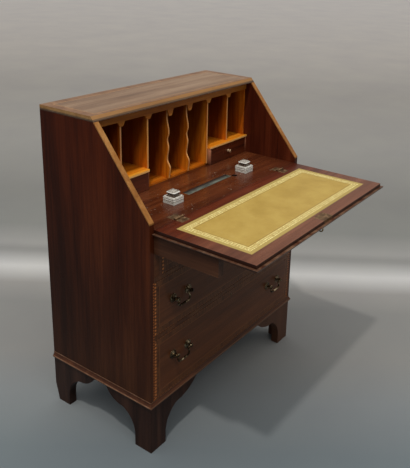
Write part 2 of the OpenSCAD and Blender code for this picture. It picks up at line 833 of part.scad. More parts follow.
// Plan of what stands in front of the nest beside a partition: its inner front corner is rounded.
module rounded_plan(x0, x1, y0, y1, r) {
    polygon([[x0 + r, y0], [x1, y0], [x1, y1], [x0, y1], [x0, y0 + r], [x0 + r, y0 + r]]);
    intersection() {
        translate([x0, y0]) square(r);
        translate([x0 + r, y0 + r]) circle(r = r, $fn = fine);
    }
}

// Each shelf runs out over the small drawer below it.
module nest_shelves() color("#c8873c") both_sides() {
    shelf_y = small_y - nosing_out;
    block([small_x0, nest_y, shelf_z0], [small_x1, y_inside, shelf_z1]);
    translate([0, 0, shelf_z0]) linear_extrude(nest_t)
        rounded_plan(small_x0, inner_x, shelf_y, nest_y, small_corner_r);
}

serpentine_steps = 6;
serpentine_h = nest_top_under - nest_floor_z;
serpentine_scale = serpentine_h / serpentine_turns[len(serpentine_turns) - 1][0];

// Smooth step from 0 to 1.
function ease(t) = (1 - cos(180 * t)) / 2;

// Points of the serpentine edge: each turn eases into the next.
function serpentine_edge() = [
    for (i = [0 : len(serpentine_turns) - 2], k = [0 : serpentine_steps - 1])
        let (a = serpentine_turns[i], b = serpentine_turns[i + 1], t = k / serpentine_steps)
        [nest_y + a[1] + (b[1] - a[1]) * ease(t), nest_floor_z + (a[0] + (b[0] - a[0]) * t) * serpentine_scale]
];

serpentine_top_back = serpentine_turns[len(serpentine_turns) - 1][1];

module serpentine_dividers() color("#c8873c") both_sides()
    along_x(serpentine_x - nest_t / 2, serpentine_x + nest_t / 2) polygon(concat(
        serpentine_edge(),
        [
            [nest_y + serpentine_top_back, nest_top_under],
            [y_inside, nest_top_under],
            [y_inside, nest_floor_z]
        ]
    ));

pendant_steps = 5;
pendants = [
    [-upright_x, pendant_h], [-partition_x, pendant_h], [-serpentine_x, serpentine_pendant_h],
    [serpentine_x, serpentine_pendant_h], [partition_x, pendant_h], [upright_x, pendant_h]
];

// Lower edge of one pendant from left to right: down an ogee, across the tip and up again.
function pendant_edge(p) = concat(
    [for (k = [0 : pendant_steps]) let (t = k / pendant_steps)
        [p[0] - pendant_half + (pendant_half - pendant_tip) * t,
            nest_top_under - valance_h - (p[1] - valance_h) * ease(t)]],
    [for (k = [0 : pendant_steps]) let (t = k / pendant_steps)
        [p[0] + pendant_tip + (pendant_half - pendant_tip) * t,
            nest_top_under - valance_h - (p[1] - valance_h) * ease(1 - t)]]
);

module pigeonhole_valance() color("#b8772f") along_y(nest_y - valance_t, nest_y) polygon(concat(
    [[inner_x, nest_top_under], [-inner_x, nest_top_under], [-inner_x, nest_top_under - valance_h]],
    [for (p = pendants, q = pendant_edge(p)) q],
    [[inner_x, nest_top_under - valance_h]]
));

// Small drawers

small_front_z0 = bed_z + front_gap;
small_front_z1 = shelf_z0 - front_gap / 2;
small_mid_x = (small_x0 + small_x1) / 2;
small_mid_z = (small_front_z0 + small_front_z1) / 2;

module small_front() translate([0, 0, small_front_z0]) linear_extrude(small_front_z1 - small_front_z0)
    rounded_plan(small_x0 + front_gap / 2, inner_x - front_gap / 2, small_y, small_y + small_front_t,
        small_corner_r);

module small_box() {
    x0 = small_x0 + run_gap;
    x1 = small_x1 - run_gap;
    y0 = small_y + small_front_t;
    z0 = nest_floor_z + run_gap;
    z1 = small_front_z1 - small_box_t;
    block([x0, y0, z0], [x0 + small_box_t, small_box_y1, z1]);
    block([x1 - small_box_t, y0, z0], [x1, small_box_y1, z1]);
    block([x0 + small_box_t, small_box_y1 - small_box_t, z0], [x1 - small_box_t, small_box_y1, z1]);
    block([x0 + small_box_t, y0, z0], [x1 - small_box_t, small_box_y1 - small_box_t, z0 + small_base_t]);
}

// Turned knob with a neck and a button head, pointing to the front.
module small_knob() {
    translate([small_mid_x, small_y, small_mid_z]) rotate([90, 0, 0]) rotate_extrude($fn = fine) {
        polygon([
            [0, 0],
            [knob_r * 0.85, 0],
            [knob_r * 0.85, knob_out * 0.1],
            [knob_r * 0.4, knob_out * 0.3],
            [knob_r * 0.4, knob_out * 0.55],
            [knob_r, knob_out * 0.75],
            [knob_r * 0.75, knob_out * 0.95],
            [knob_r * 0.3, knob_out],
            [0, knob_out]
        ]);
    }
}

module small_drawer_left_front() color("#4a2018") mirror([1, 0, 0]) small_front();

module small_drawer_left_box() color("#a8743c") mirror([1, 0, 0]) small_box();

module small_drawer_left_knob() color("#c9a14a") mirror([1, 0, 0]) small_knob();

module small_drawer_right_front() color("#4a2018") small_front();

module small_drawer_right_box() color("#a8743c") small_box();

module small_drawer_right_knob() color("#c9a14a") small_knob();

// Fall

leather_x = field_x - leather_margin;
leather_y0 = fall_front + leather_margin;
leather_y1 = fall_back - leather_margin;

// Round keyhole with the slot for the bit, cut downwards through the outer face.
module keyhole(y, z0, z1) {
    translate([0, y, z0]) cylinder(h = z1 - z0, r = key_r + hole_fit, $fn = fine);
    block([-bit_w / 2 - bolt_gap, y, z0], [bit_w / 2 + bolt_gap, y + bit_reach + bolt_gap, z1]);
}

// Space inside the lock for the bolt and its travel.
module bolt_channel() {
    block([-bolt_w / 2 - bolt_gap, fall_front - eps, bolt_z0 - bolt_gap],
        [bolt_w / 2 + bolt_gap, fall_front + bolt_len + bolt_gap, bolt_z1 + bolt_gap]);
}

module fall_board() color("#7a3a22") difference() {
    block([-field_x, fall_front, fall_under], [field_x, fall_back, bed_z]);
    block([-leather_x, leather_y0, bed_z - leather_t], [leather_x, leather_y1, bed_z + eps]);
    both_sides() hinge_recess(-1);
    block([-lock_w / 2, lock_y0 - eps, bed_z - lock_plate_t], [lock_w / 2, lock_y0 + lock_d, bed_z + eps]);
    block([-lock_w / 2 + lock_case_inset, lock_y0 - eps, case_z0],
        [lock_w / 2 - lock_case_inset, lock_y0 + lock_d - lock_case_inset, bed_z]);
    keyhole(key_y, fall_under - eps, bed_z - lock_plate_t);
}

// Lipping with a rounded lower edge.
module fall_lipping() color("#6b3321")
    wrap(field_x, fall_front, fall_back, fall_under, fall_under + lip_t) intersection() {
        translate([-wrap_depth, fall_under]) square([wrap_depth + lip_w, lip_t]);
        union() {
            translate([-wrap_depth, fall_under - lip_t]) square([wrap_depth, 3 * lip_t]);
            translate([0, fall_under + lip_t]) circle(r = lip_w, $fn = fine);
        }
    }

module fall_leather() color("#c9a63f")
    block([-leather_x, leather_y0, bed_z - leather_t], [leather_x, leather_y1, bed_z]);

module fall_lock() color("#b08d45") difference() {
    union() {
        block([-lock_w / 2, lock_y0, bed_z - lock_plate_t], [lock_w / 2, lock_y0 + lock_d, bed_z]);
        block([-lock_w / 2 + lock_case_inset, lock_y0, case_z0],
            [lock_w / 2 - lock_case_inset, lock_y0 + lock_d - lock_case_inset, bed_z - lock_plate_t]);
    }
    bolt_channel();
    translate([0, key_y, case_z0 - eps])
        cylinder(h = bit_z1 - case_z0 + eps, r = bit_reach + bolt_gap, $fn = fine);
}

module fall_bolt() color("#b08d45")
    block([-bolt_w / 2, fall_front, bolt_z0], [bolt_w / 2, fall_front + bolt_len, bolt_z1]);

module fall_escutcheon() color("#b08d45") difference() {
    translate([0, key_y, fall_under - keyplate_t]) cylinder(h = keyplate_t, r = keyplate_r, $fn = fine);
    keyhole(key_y, fall_under - far, fall_under + eps);
}

module fall_key() color("#6b5a3a") {
    shank_z0 = bow_z + bow_r;
    bit_z0 = max(case_z0, bit_z1 - bit_h) + bolt_gap;
    translate([0, key_y, shank_z0]) cylinder(h = bit_z1 - bolt_gap - shank_z0, r = key_r, $fn = fine);
    block([-bit_w / 2, key_y, bit_z0], [bit_w / 2, key_y + bit_reach, bit_z1 - bolt_gap]);
    translate([0, key_y, bow_z]) rotate([0, 90, 0]) rotate_extrude($fn = fine)
        translate([bow_r, 0]) circle(r = bow_wire_r, $fn = fine / 2);
}

// Long drawers. Each module takes the drawer's number: 0 upper, 1 middle, 2 lower.

function front_mid_z(n) = (drawer_z0[n] + drawer_z1[n]) / 2;
function handle_z(n) = front_mid_z(n) + handle_rise[n];
function keyhole_z(n) = drawer_z1[n] - keyhole_drop;

// Places of the four posts of a drawer.
module at_posts(n) {
    for (side = [-1, 1], end = [-1, 1])
        translate([side * handle_x + end * post_pitch / 2, y_front, handle_z(n)]) children();
}

function box_x(n) = drawer_x[n] - front_gap;
function box_z0(n) = drawer_z0[n] + run_gap;
function box_z1(n) = drawer_z1[n] - front_gap - box_drop;

// Lapped dovetails of both sides of a drawer, let into the back of its front. The front of each side
// is divided evenly, and a tail widens towards its end.
module dovetails(n) {
    back = y_front + front_t;
    pitch = (box_z1(n) - box_z0(n) - tail_flare) / tails_n[n];
    both_sides() along_x(box_x(n) - box_t, box_x(n)) for (i = [0 : tails_n[n] - 1]) {
        z = box_z1(n) - (i + 0.5) * pitch;
        half = tail_share * pitch / 2;
        polygon([
            [back, z - half],
            [back - tail_len, z - half - tail_flare],
            [back - tail_len, z + half + tail_flare],
            [back, z + half]
        ]);
    }
}

// Outline of a keyhole, widened by a margin, with its slot pointing down.
module keyhole_outline(margin) {
    circle(r = key_r + margin, $fn = fine);
    translate([-bit_w / 2 - margin, -bit_reach - margin]) square([bit_w + 2 * margin, bit_reach + margin]);
}

module drawer_front(n) difference() {
    block([-drawer_x[n] + front_gap, y_front, drawer_z0[n] + front_gap],
        [drawer_x[n] - front_gap, y_front + front_t, drawer_z1[n] - front_gap]);
    at_posts(n) rotate([-90, 0, 0]) translate([0, 0, -eps])
        cylinder(h = front_t + 2 * eps, r = shank_r + hole_fit, $fn = fine);
    along_y(y_front - eps, y_front + thread_d) translate([0, keyhole_z(n)]) keyhole_outline(thread_t + hole_fit);
    along_y(y_front, y_front + keyhole_d) translate([0, keyhole_z(n)]) keyhole_outline(0);
    dovetails(n);
}

// Grooved sides, dovetailed into the front, and a back that stands on the base.
module drawer_box(n) {
    groove_z = box_z0(n) + drawer_base_lift;
    both_sides() difference() {
        block([box_x(n) - box_t, y_front + front_t, box_z0(n)], [box_x(n), box_y1, box_z1(n)]);
        block([box_x(n) - box_t - eps, y_front + front_t - eps, groove_z],
            [box_x(n) - box_t + groove_d, box_y1 + eps, groove_z + drawer_base_t]);
    }
    block([-box_x(n) + box_t, box_y1 - box_t, groove_z + drawer_base_t], [box_x(n) - box_t, box_y1, box_z1(n)]);
    dovetails(n);
}

module drawer_base(n) {
    groove_z = box_z0(n) + drawer_base_lift;
    x = box_x(n) - box_t + groove_d;
    block([-x, y_front + front_t, groove_z], [x, box_y1, groove_z + drawer_base_t]);
}

// Post turned in one piece with its rose and ball, pierced for the bail, and its nut behind the front.
module handle_post() {
    difference() {
        rotate([90, 0, 0]) rotate_extrude($fn = fine) {
            polygon([
                [0, -front_t - nut_t - shank_end],
                [shank_r, -front_t - nut_t - shank_end],
                [shank_r, 0],
                [rose_r, 0],
                [rose_r, rose_t * 0.4],
                [rose_r * 0.9, rose_t * 0.8],
                [rose_r * 0.75, rose_t * 0.45],
                [rose_r * 0.4, rose_t],
                [neck_r, rose_t * 1.2],
                [neck_r, pivot_out - ball_r / 2],
                [0, pivot_out - ball_r / 2]
            ]);
            intersection() {
                translate([0, pivot_out]) circle(r = ball_r, $fn = fine);
                square([ball_r, 2 * pivot_out]);
            }
        }
        bar_x(-2 * ball_r, 2 * ball_r, -pivot_out, 0, bail_r + bail_fit);
    }
    translate([0, front_t, 0]) rotate([-90, 0, 0]) cylinder(h = nut_t, r = nut_w / sqrt(3), $fn = 6);
}

module drawer_brasses(n) {
    at_posts(n) handle_post();
    along_y(y_front, y_front + thread_d) translate([0, keyhole_z(n)]) difference() {
        keyhole_outline(thread_t);
        keyhole_outline(0);
    }
}

// Swan-neck bail

// Part of a ring of wire in the X and Z plane.
module wire_arc(centre, r, from, sweep, wire_r) {
    translate([centre.x, 0, centre.y]) rotate([90, 0, 0]) rotate([0, 0, from])
        rotate_extrude(angle = sweep, $fn = fine) translate([r, 0]) circle(r = wire_r, $fn = fine / 2);
}

neck_x = post_pitch / 2 - ball_r - 1;
neck_end = [neck_x - bail_neck_r * sin(bail_turn), -bail_neck_r * (1 - cos(bail_turn))];
bow_start = neck_end + bail_run * [-cos(bail_turn), -sin(bail_turn)];
bow_centre = bow_start + bail_bow_r * [-sin(bail_turn), cos(bail_turn)];
bail_bottom = bow_centre.y - bail_bow_r;
joint_sweep = 0.1;

// Half of a bail, from its pin to the middle of the grip. Each part is a little thicker than the last
// and takes the end of the last one in.
module half_bail() {
    bar_x(neck_x - eps, post_pitch / 2 + ball_r + 1, 0, 0, bail_r);
    wire_arc([neck_x, -bail_neck_r], bail_neck_r, 90, bail_turn + joint_sweep, bail_r + bail_growth);
    translate([neck_end.x, 0, neck_end.y]) rotate([0, 270 - bail_turn, 0])
        cylinder(h = bail_run + eps, r = bail_r + 2 * bail_growth, $fn = fine);
    wire_arc(bow_centre, bail_bow_r, -90 - joint_sweep, bail_turn + joint_sweep, bail_r + 3 * bail_growth);
}

// The grip, swelling to the middle.
module bail_grip() {
    both_sides() translate([0, 0, bail_bottom]) rotate([0, 90, 0])
        cylinder(h = bow_centre.x, r1 = bail_swell_r, r2 = bail_r + 4 * bail_growth, $fn = fine);
    bar_x(-bail_growth, bail_growth, 0, bail_bottom, bail_swell_r - bail_growth);
}

module bail(n, side) {
    translate([side * handle_x, pivot_y, handle_z(n)]) {
        both_sides() half_bail();
        bail_grip();
    }
}

module upper_drawer_front() color("#4a2018") drawer_front(0);

module upper_drawer_box() color("#8a6038") drawer_box(0);

module upper_drawer_base() color("#8a6038") drawer_base(0);

module upper_drawer_brasses() color("#b08d45") drawer_brasses(0);

module upper_drawer_bail_left() color("#b08d45") bail(0, -1);

module upper_drawer_bail_right() color("#b08d45") bail(0, 1);

module middle_drawer_front() color("#4a2018") drawer_front(1);

module middle_drawer_box() color("#8a6038") drawer_box(1);

module middle_drawer_base() color("#8a6038") drawer_base(1);

module middle_drawer_brasses() color("#b08d45") drawer_brasses(1);

module middle_drawer_bail_left() color("#b08d45") bail(1, -1);

module middle_drawer_bail_right() color("#b08d45") bail(1, 1);

module lower_drawer_front() color("#4a2018") drawer_front(2);

module lower_drawer_box() color("#8a6038") drawer_box(2);

module lower_drawer_base() color("#8a6038") drawer_base(2);

module lower_drawer_brasses() color("#b08d45") drawer_brasses(2);

module lower_drawer_bail_left() color("#b08d45") bail(2, -1);

module lower_drawer_bail_right() color("#b08d45") bail(2, 1);

side_left();
side_right();
slant_lippings();
top_board();
strike_plate();
back_boards();
writing_bed();
base_board();
drawer_rails();
dustboards();
loper_partitions();
loper_bearers();
plinth_moulding();
front_bracket_feet();
rear_bracket_feet();
bed_hinge_leaves();
nest_case();
nest_partitions();
serpentine_dividers();
nest_shelves();
pigeonhole_valance();
pen_tray();
inkwell_left();
inkwell_right();
inkwell_lid_left();
inkwell_lid_right();
small_drawer_left_front();
small_drawer_left_box();
small_drawer_left_knob();
small_drawer_right_front();
small_drawer_right_box();
small_drawer_right_knob();
fall_board();
fall_lipping();
fall_leather();
fall_hinge_leaves();
fall_lock();
fall_escutcheon();
fall_bolt();
fall_key();
loper_left();
loper_right();
upper_drawer_front();
upper_drawer_box();
upper_drawer_base();
upper_drawer_brasses();
upper_drawer_bail_left();
upper_drawer_bail_right();
middle_drawer_front();
middle_drawer_box();
middle_drawer_base();
middle_drawer_brasses();
middle_drawer_bail_left();
middle_drawer_bail_right();
lower_drawer_front();
lower_drawer_box();
lower_drawer_base();
lower_drawer_brasses();
lower_drawer_bail_left();
lower_drawer_bail_right();
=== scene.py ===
"""Dresses a slant-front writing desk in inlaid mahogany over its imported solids. Lengths are in metres."""

import math

import bmesh
import bpy
from mathutils import Matrix, Vector


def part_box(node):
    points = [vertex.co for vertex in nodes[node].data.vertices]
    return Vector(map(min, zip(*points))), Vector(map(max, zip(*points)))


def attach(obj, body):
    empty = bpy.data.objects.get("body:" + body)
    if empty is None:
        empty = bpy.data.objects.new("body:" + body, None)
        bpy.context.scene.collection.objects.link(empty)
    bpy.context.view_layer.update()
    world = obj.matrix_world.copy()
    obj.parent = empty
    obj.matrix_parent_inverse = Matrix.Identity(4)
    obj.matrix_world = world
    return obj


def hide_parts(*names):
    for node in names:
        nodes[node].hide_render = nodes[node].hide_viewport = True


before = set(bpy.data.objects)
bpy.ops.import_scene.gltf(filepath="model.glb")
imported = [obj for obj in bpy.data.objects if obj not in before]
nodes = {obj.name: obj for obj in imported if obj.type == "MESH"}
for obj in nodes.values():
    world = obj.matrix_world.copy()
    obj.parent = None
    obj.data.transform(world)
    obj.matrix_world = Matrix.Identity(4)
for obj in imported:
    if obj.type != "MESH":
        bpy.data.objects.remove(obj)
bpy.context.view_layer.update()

case_low, case_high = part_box("side_right")
inner_face, case_front = case_low.x, case_low.y
# A face that lies nearer than this to a side of a box counts as being on that side.
SKIN = 0.0005
# A band that starts here, just outside a rim, reaches the edge itself.
EDGE = -0.01
# How far the sharp edges of polished wood, raw wood, brass and the pen tray are eased.
POLISHED_EDGE, RAW_EDGE, BRASS_EDGE, TRAY_EDGE = 0.0009, 0.0006, 0.0005, 0.001


# Finishes


def paint(red, green, blue):
    """A colour as the eye reads it, 0 to 255, turned into the light that a shader wants."""
    light = (((c / 255 + 0.055) / 1.055) ** 2.4 if c > 10 else c / 255 / 12.92 for c in (red, green, blue))
    return (*light, 1.0)


def shades(*colours):
    """The tones of one material, each given as red, green and blue."""
    return tuple(paint(*colour) for colour in colours)


class Finish:
    """One finish being mixed: a shader, and the textures that colour it on the piece's own coordinates."""

    def __init__(self, name, metal=0.0, coat=0.0, clear=0.0, gloss=0.35):
        self.material = bpy.data.materials.new(name)
        self.material.use_nodes = True
        self.tree = self.material.node_tree
        self.shader = self.tree.nodes["Principled BSDF"]
        plain = {
            "Metallic": metal,
            "Coat Weight": coat,
            "Coat Roughness": 0.12,
            "Transmission Weight": clear,
            "Specular IOR Level": gloss,
        }
        for socket, value in plain.items():
            self.shader.inputs[socket].default_value = value
        where = self.add("ShaderNodeTexCoord")
        self.place, self.facing = where.outputs["Object"], where.outputs["Normal"]
        self.x, self.y, self.z = self.add("ShaderNodeSeparateXYZ", self.place).outputs

    def fill(self, socket, value):
        """A link or a plain value into one socket."""
        if isinstance(value, bpy.types.NodeSocket):
            self.tree.links.new(value, socket)
        elif value is not None:
            socket.default_value = value

    def add(self, kind, *values, **settings):
        """A new node, its settings made and its first sockets filled in order."""
        node = self.tree.nodes.new(kind)
        for setting, value in settings.items():
            setattr(node, setting, value)
        for socket, value in zip(node.inputs, values):
            self.fill(socket, value)
        return node

    def maths(self, how, first, *others):
        """Values taken together in order, two at a time."""
        for other in others:
            first = self.add("ShaderNodeMath", first, other, operation=how).outputs[0]
        return first

    def plus(self, *values):
        return self.maths("ADD", *values)

    def minus(self, first, second):
        return self.maths("SUBTRACT", first, second)

    def times(self, *values):
        return self.maths("MULTIPLY", *values)

    def over(self, first, second):
        return self.maths("DIVIDE", first, second)

    def least(self, first, second):
        return self.maths("MINIMUM", first, second)

    def most(self, first, second):
        return self.maths("MAXIMUM", first, second)

    def blend(self, *weighted):
        """The sum of some values, each times its weight."""
        return self.plus(*(self.times(value, weight) for value, weight in weighted))

    def below(self, value, limit):
        """1 where the value is under the limit, and 0 elsewhere."""
        return self.maths("LESS_THAN", value, limit)

    def above(self, value, limit):
        """1 where the value is over the limit, and 0 elsewhere."""
        return self.maths("GREATER_THAN", value, limit)

    def near(self, value, middle, reach):
        """1 where the value is within reach of the middle, and 0 elsewhere."""
        return self.add("ShaderNodeMath", value, middle, reach, operation="COMPARE").outputs[0]

    def within(self, value, low, high):
        """1 where the value is between two limits, and 0 elsewhere."""
        return self.near(value, (low + high) / 2, (high - low) / 2)

    def size(self, value):
        """The value without its sign."""
        return self.add("ShaderNodeMath", value, operation="ABSOLUTE").outputs[0]

    def inside(self, value, low, high):
        """How far the value is inside the nearer of two limits."""
        return self.least(self.minus(value, low), self.minus(high, value))

    def repeat(self, value, pitch):
        """0 to 1 over each pitch, again and again."""
        return self.add("ShaderNodeMath", self.over(value, pitch), operation="FRACT").outputs[0]

    def wave(self, value, pitch):
        """0 in the middle of each pitch, and 0.5 at its ends."""
        return self.size(self.minus(self.repeat(value, pitch), 0.5))

    def between(self, value, low, high):
        """0 at low, 1 at high, and a straight line between them."""
        return self.add("ShaderNodeMapRange", value, low, high, 0.0, 1.0).outputs[0]

    def noise(self, scale, stretch=(1, 1, 1), detail=3.0, rough=0.55, warp=0.0, shift=0.0, spot=None):
        """Soft random patches, drawn out along a grain by a stretch below 1."""
        laid = self.add("ShaderNodeMapping", spot or self.place)
        laid.inputs["Scale"].default_value = stretch
        laid.inputs["Location"].default_value = (shift, shift, shift)
        patches = self.add("ShaderNodeTexNoise", laid.outputs[0])
        told = {"Scale": scale, "Detail": detail, "Roughness": rough, "Distortion": warp}
        for socket, value in told.items():
            patches.inputs[socket].default_value = value
        return patches.outputs[0]

    def waver(self, value, scale, reach):
        """The value made to wander, so that what it marks off has no straight edge."""
        return self.plus(value, self.times(self.minus(self.noise(scale), 0.5), reach))

    def ramp(self, value, first, *others):
        """A value turned into colours. Each stop is a place and a colour, from the lowest place up."""
        *middle, last = others
        node = self.add("ShaderNodeValToRGB", value)
        stops = node.color_ramp.elements
        for place, colour in middle:
            stops.new(place).color = colour
        for stop, (place, colour) in zip((stops[0], stops[-1]), (first, last)):
            stop.position, stop.color = place, colour
        return node.outputs[0]

    def mix(self, share, under, over, how="MIX"):
        """One colour laid over another by a share."""
        node = self.add("ShaderNodeMix", data_type="RGBA", blend_type=how)
        for index, value in ((0, share), (6, under), (7, over)):
            self.fill(node.inputs[index], value)
        return node.outputs[2]

    def tint(self, colour, by):
        """A colour seen through another."""
        return self.mix(1.0, colour, by, how="MULTIPLY")

    def soft_edges(self, radius):
        """The surface's direction with its sharp edges eased, and how much a spot is on such an edge."""
        eased = self.add("ShaderNodeBevel", radius, samples=4).outputs[0]
        flat = self.add("ShaderNodeNewGeometry").outputs["Normal"]
        agree = self.add("ShaderNodeVectorMath", eased, flat, operation="DOT_PRODUCT").outputs["Value"]
        return eased, self.between(agree, 0.99, 0.8)

    def finish(self, colour, roughness, height=None, depth=0.0002, strength=0.4, normal=None):
        """The colour, sheen and relief into the shader."""
        self.fill(self.shader.inputs["Base Color"], colour)
        self.fill(self.shader.inputs["Roughness"], roughness)
        if height is not None:
            relief = self.add("ShaderNodeBump")
            told = {"Strength": strength, "Distance": depth, "Height": height, "Normal": normal}
            for socket, value in told.items():
                self.fill(relief.inputs[socket], value)
            normal = relief.outputs[0]
        if normal is not None:
            self.fill(self.shader.inputs["Normal"], normal)
            self.fill(self.shader.inputs["Coat Normal"], normal)
        return self.material


def drawn_out(along, amount):
    """A stretch that draws a pattern out along one axis."""
    return tuple(amount if axis == along else 1.0 for axis in "xyz")


def timber(f, along, deep, body, bright, broad=24, shift=0.0):
    """Colour and height of one wood: broad soft streaks, finer figure, fibre and short dark pores."""
    clouds = f.noise(5, drawn_out(along, 0.35), detail=2, shift=shift)
    streaks = f.noise(broad, drawn_out(along, 0.06), detail=3, warp=0.5, shift=shift + 3)
    figure = f.noise(120, drawn_out(along, 0.04), detail=4, rough=0.65, warp=0.4, shift=shift + 5)
    fibre = f.noise(700, drawn_out(along, 0.03), detail=2, shift=shift)
    mixed = f.blend((clouds, 0.25), (streaks, 0.4), (figure, 0.25), (fibre, 0.1))
    colour = f.ramp(mixed, (0.38, deep), (0.5, body), (0.62, bright))
    pores = f.between(f.noise(1700, drawn_out(along, 0.025), detail=1, shift=shift), 0.6, 0.72)
    colour = f.mix(f.times(pores, 0.45), colour, deep)
    return colour, f.minus(fibre, f.times(pores, 0.6))


def crossband(f, run, inset, deep, bright):
    """Veneer laid with its grain across a border: it changes along the border and hardly across it."""
    laid = f.add("ShaderNodeCombineXYZ", run, f.times(inset, 0.12), 0.0).outputs[0]
    fine = f.noise(260, detail=4, spot=laid)
    wide = f.noise(18, detail=2, spot=laid, shift=2)
    return f.ramp(f.blend((fine, 0.6), (wide, 0.4)), (0.4, deep), (0.62, bright))


def rim(f, first, second):
    """How far a spot is inside a rectangle, how far along its nearest edge, and whether that is an end.

    Each side is (coordinate, low, high), and the ends are the edges of the first.
    """
    from_ends, from_sides = f.inside(*first), f.inside(*second)
    at_end = f.below(from_ends, from_sides)
    run = f.plus(first[0], f.times(at_end, f.minus(second[0], first[0])))
    return f.least(from_ends, from_sides), run, at_end


def band(f, under, over, inset, start, stop):
    """Lays a colour between two distances from the rim."""
    return f.mix(f.times(f.above(inset, start), f.below(inset, stop)), under, over)


def chequer(f, run, pitch, light, dark):
    """Small light and dark squares following each other along a line."""
    return f.mix(f.above(f.repeat(run, pitch), 0.5), light, dark)


# The tones of each wood, from deep to bright
MAHOGANY = shades((48, 20, 10), (74, 34, 18), (100, 50, 27))
RED_MAHOGANY = shades((50, 17, 8), (82, 33, 17), (112, 50, 26))
FADED_MAHOGANY = shades((92, 65, 47), (127, 96, 71), (158, 126, 97))
GOLDEN_MAHOGANY = shades((134, 90, 48), (166, 118, 68), (194, 148, 92))
GREY_MAHOGANY = shades((80, 56, 36), (108, 80, 54), (132, 102, 74))
DRAWER_MAHOGANY = shades((72, 38, 19), (94, 51, 26), (114, 64, 33))
SMALL_DRAWER_MAHOGANY = shades((50, 20, 9), (82, 34, 16), (112, 50, 24))
FOOT_MAHOGANY = shades((32, 17, 12), (52, 31, 23), (72, 45, 33))
MOULDING_MAHOGANY = shades((48, 24, 13), (72, 38, 21), (96, 54, 30))
# Tones of the painted highlight on the moulding's nose and top edge
MOULDING_HIGHLIGHT = shades((100, 64, 42), (130, 90, 64), (158, 120, 94))
LIPPING_MAHOGANY = shades((50, 22, 10), (72, 36, 20), (96, 54, 32))
# Tones of the painted highlight on the top of the lip round the fall
LIPPING_HIGHLIGHT = shades((98, 68, 48), (126, 92, 68), (154, 118, 92))
FALL_MAHOGANY = shades((82, 43, 29), (112, 66, 45), (142, 90, 64))
BED_MAHOGANY = shades((50, 20, 9), (82, 38, 19), (112, 58, 29))
LOPER_MAHOGANY = shades((64, 37, 24), (84, 51, 34), (104, 66, 44))
SLANT_LIPPING = shades((130, 80, 36), (160, 105, 52), (188, 134, 76))
SATINWOOD = shades((164, 74, 8), (216, 114, 16), (252, 156, 42))
PALE_SATINWOOD = shades((200, 98, 14), (248, 146, 30), (255, 190, 66))
CASE_SATINWOOD = shades((146, 64, 8), (194, 98, 14), (232, 138, 36))
BROWN_SATINWOOD = shades((132, 68, 20), (172, 100, 32), (214, 140, 60))
DRAWER_LINING = shades((104, 70, 42), (140, 100, 64), (164, 124, 84))
STAINED_PINE = shades((66, 42, 26), (92, 62, 40), (118, 84, 56))

# The tones of each crossbanded border, deep and bright
BORDER = shades((76, 40, 20), (112, 66, 34))
TOP_BORDER = shades((104, 68, 44), (146, 104, 70))

# The tones of each brass: bright, dull and dark
OLD_BRASS = shades((196, 158, 92), (140, 106, 58), (58, 42, 26))
DULL_BRASS = shades((170, 140, 106), (138, 110, 82), (104, 80, 58))
DARK_BRASS = shades((216, 196, 160), (86, 68, 45), (30, 23, 16))
KNOB_BRASS = shades((236, 214, 186), (198, 170, 134), (96, 74, 52))

# The tones of the leather, its gold, the glass and the pen tray, from dark to light
OLIVE_LEATHER = shades((174, 140, 62), (182, 148, 69), (189, 156, 76))
GOLD_LEAF = shades((212, 184, 106), (250, 234, 158))
# The cut glass tones paint its reflections, and the dark glass tones a shadow on the neck
CUT_GLASS = shades((80, 68, 54), (188, 174, 154), (255, 248, 232))
DARK_GLASS = shades((38, 30, 24), (150, 128, 108))
TRAY_GREY = shades((62, 64, 56), (92, 96, 84), (122, 124, 108))

EBONY = paint(30, 18, 12)
WORN = paint(150, 98, 58)


def polish(f, colour, height, roughness=0.3, wear=0.3, worn=WORN):
    """Old shellac polish: eased and slightly worn edges, and a sheen that handling has made uneven."""
    eased, on_edge = f.soft_edges(POLISHED_EDGE)
    wear_and_highlight = f.times(on_edge, f.between(f.noise(45, detail=4), 0.42, 0.62))
    colour = f.mix(f.times(wear_and_highlight, wear), colour, worn)
    smear = f.noise(9, detail=5, rough=0.6, shift=7)
    sheen = f.plus(roughness - 0.08, f.times(smear, 0.18))
    return f.finish(colour, sheen, height, depth=0.00025, strength=0.35, normal=eased)


def plain_wood(name, along, tones, wear=0.3, shift=0.0, worn=WORN):
    """One polished wood all over."""
    f = Finish(name, gloss=0.12)
    colour, height = timber(f, along, *tones, shift=shift)
    return polish(f, colour, height, wear=wear, worn=worn)


def raw_wood(name, along, tones, faced=False):
    """Unpolished inside wood, dirty in patches. Where it is faced, its front is polished mahogany."""
    f = Finish(name)
    colour, height = timber(f, along, *tones, broad=30)
    dirt = f.between(f.noise(12, detail=5, shift=9), 0.5, 0.72)
    colour = f.mix(f.times(dirt, 0.35), colour, tones[0])
    if faced:
        facing, _ = timber(f, "x", *DRAWER_MAHOGANY)
        colour = f.mix(f.below(f.y, case_front + SKIN), colour, facing)
    eased, _ = f.soft_edges(RAW_EDGE)
    return f.finish(colour, 0.62, height, depth=0.0004, strength=0.5, normal=eased)


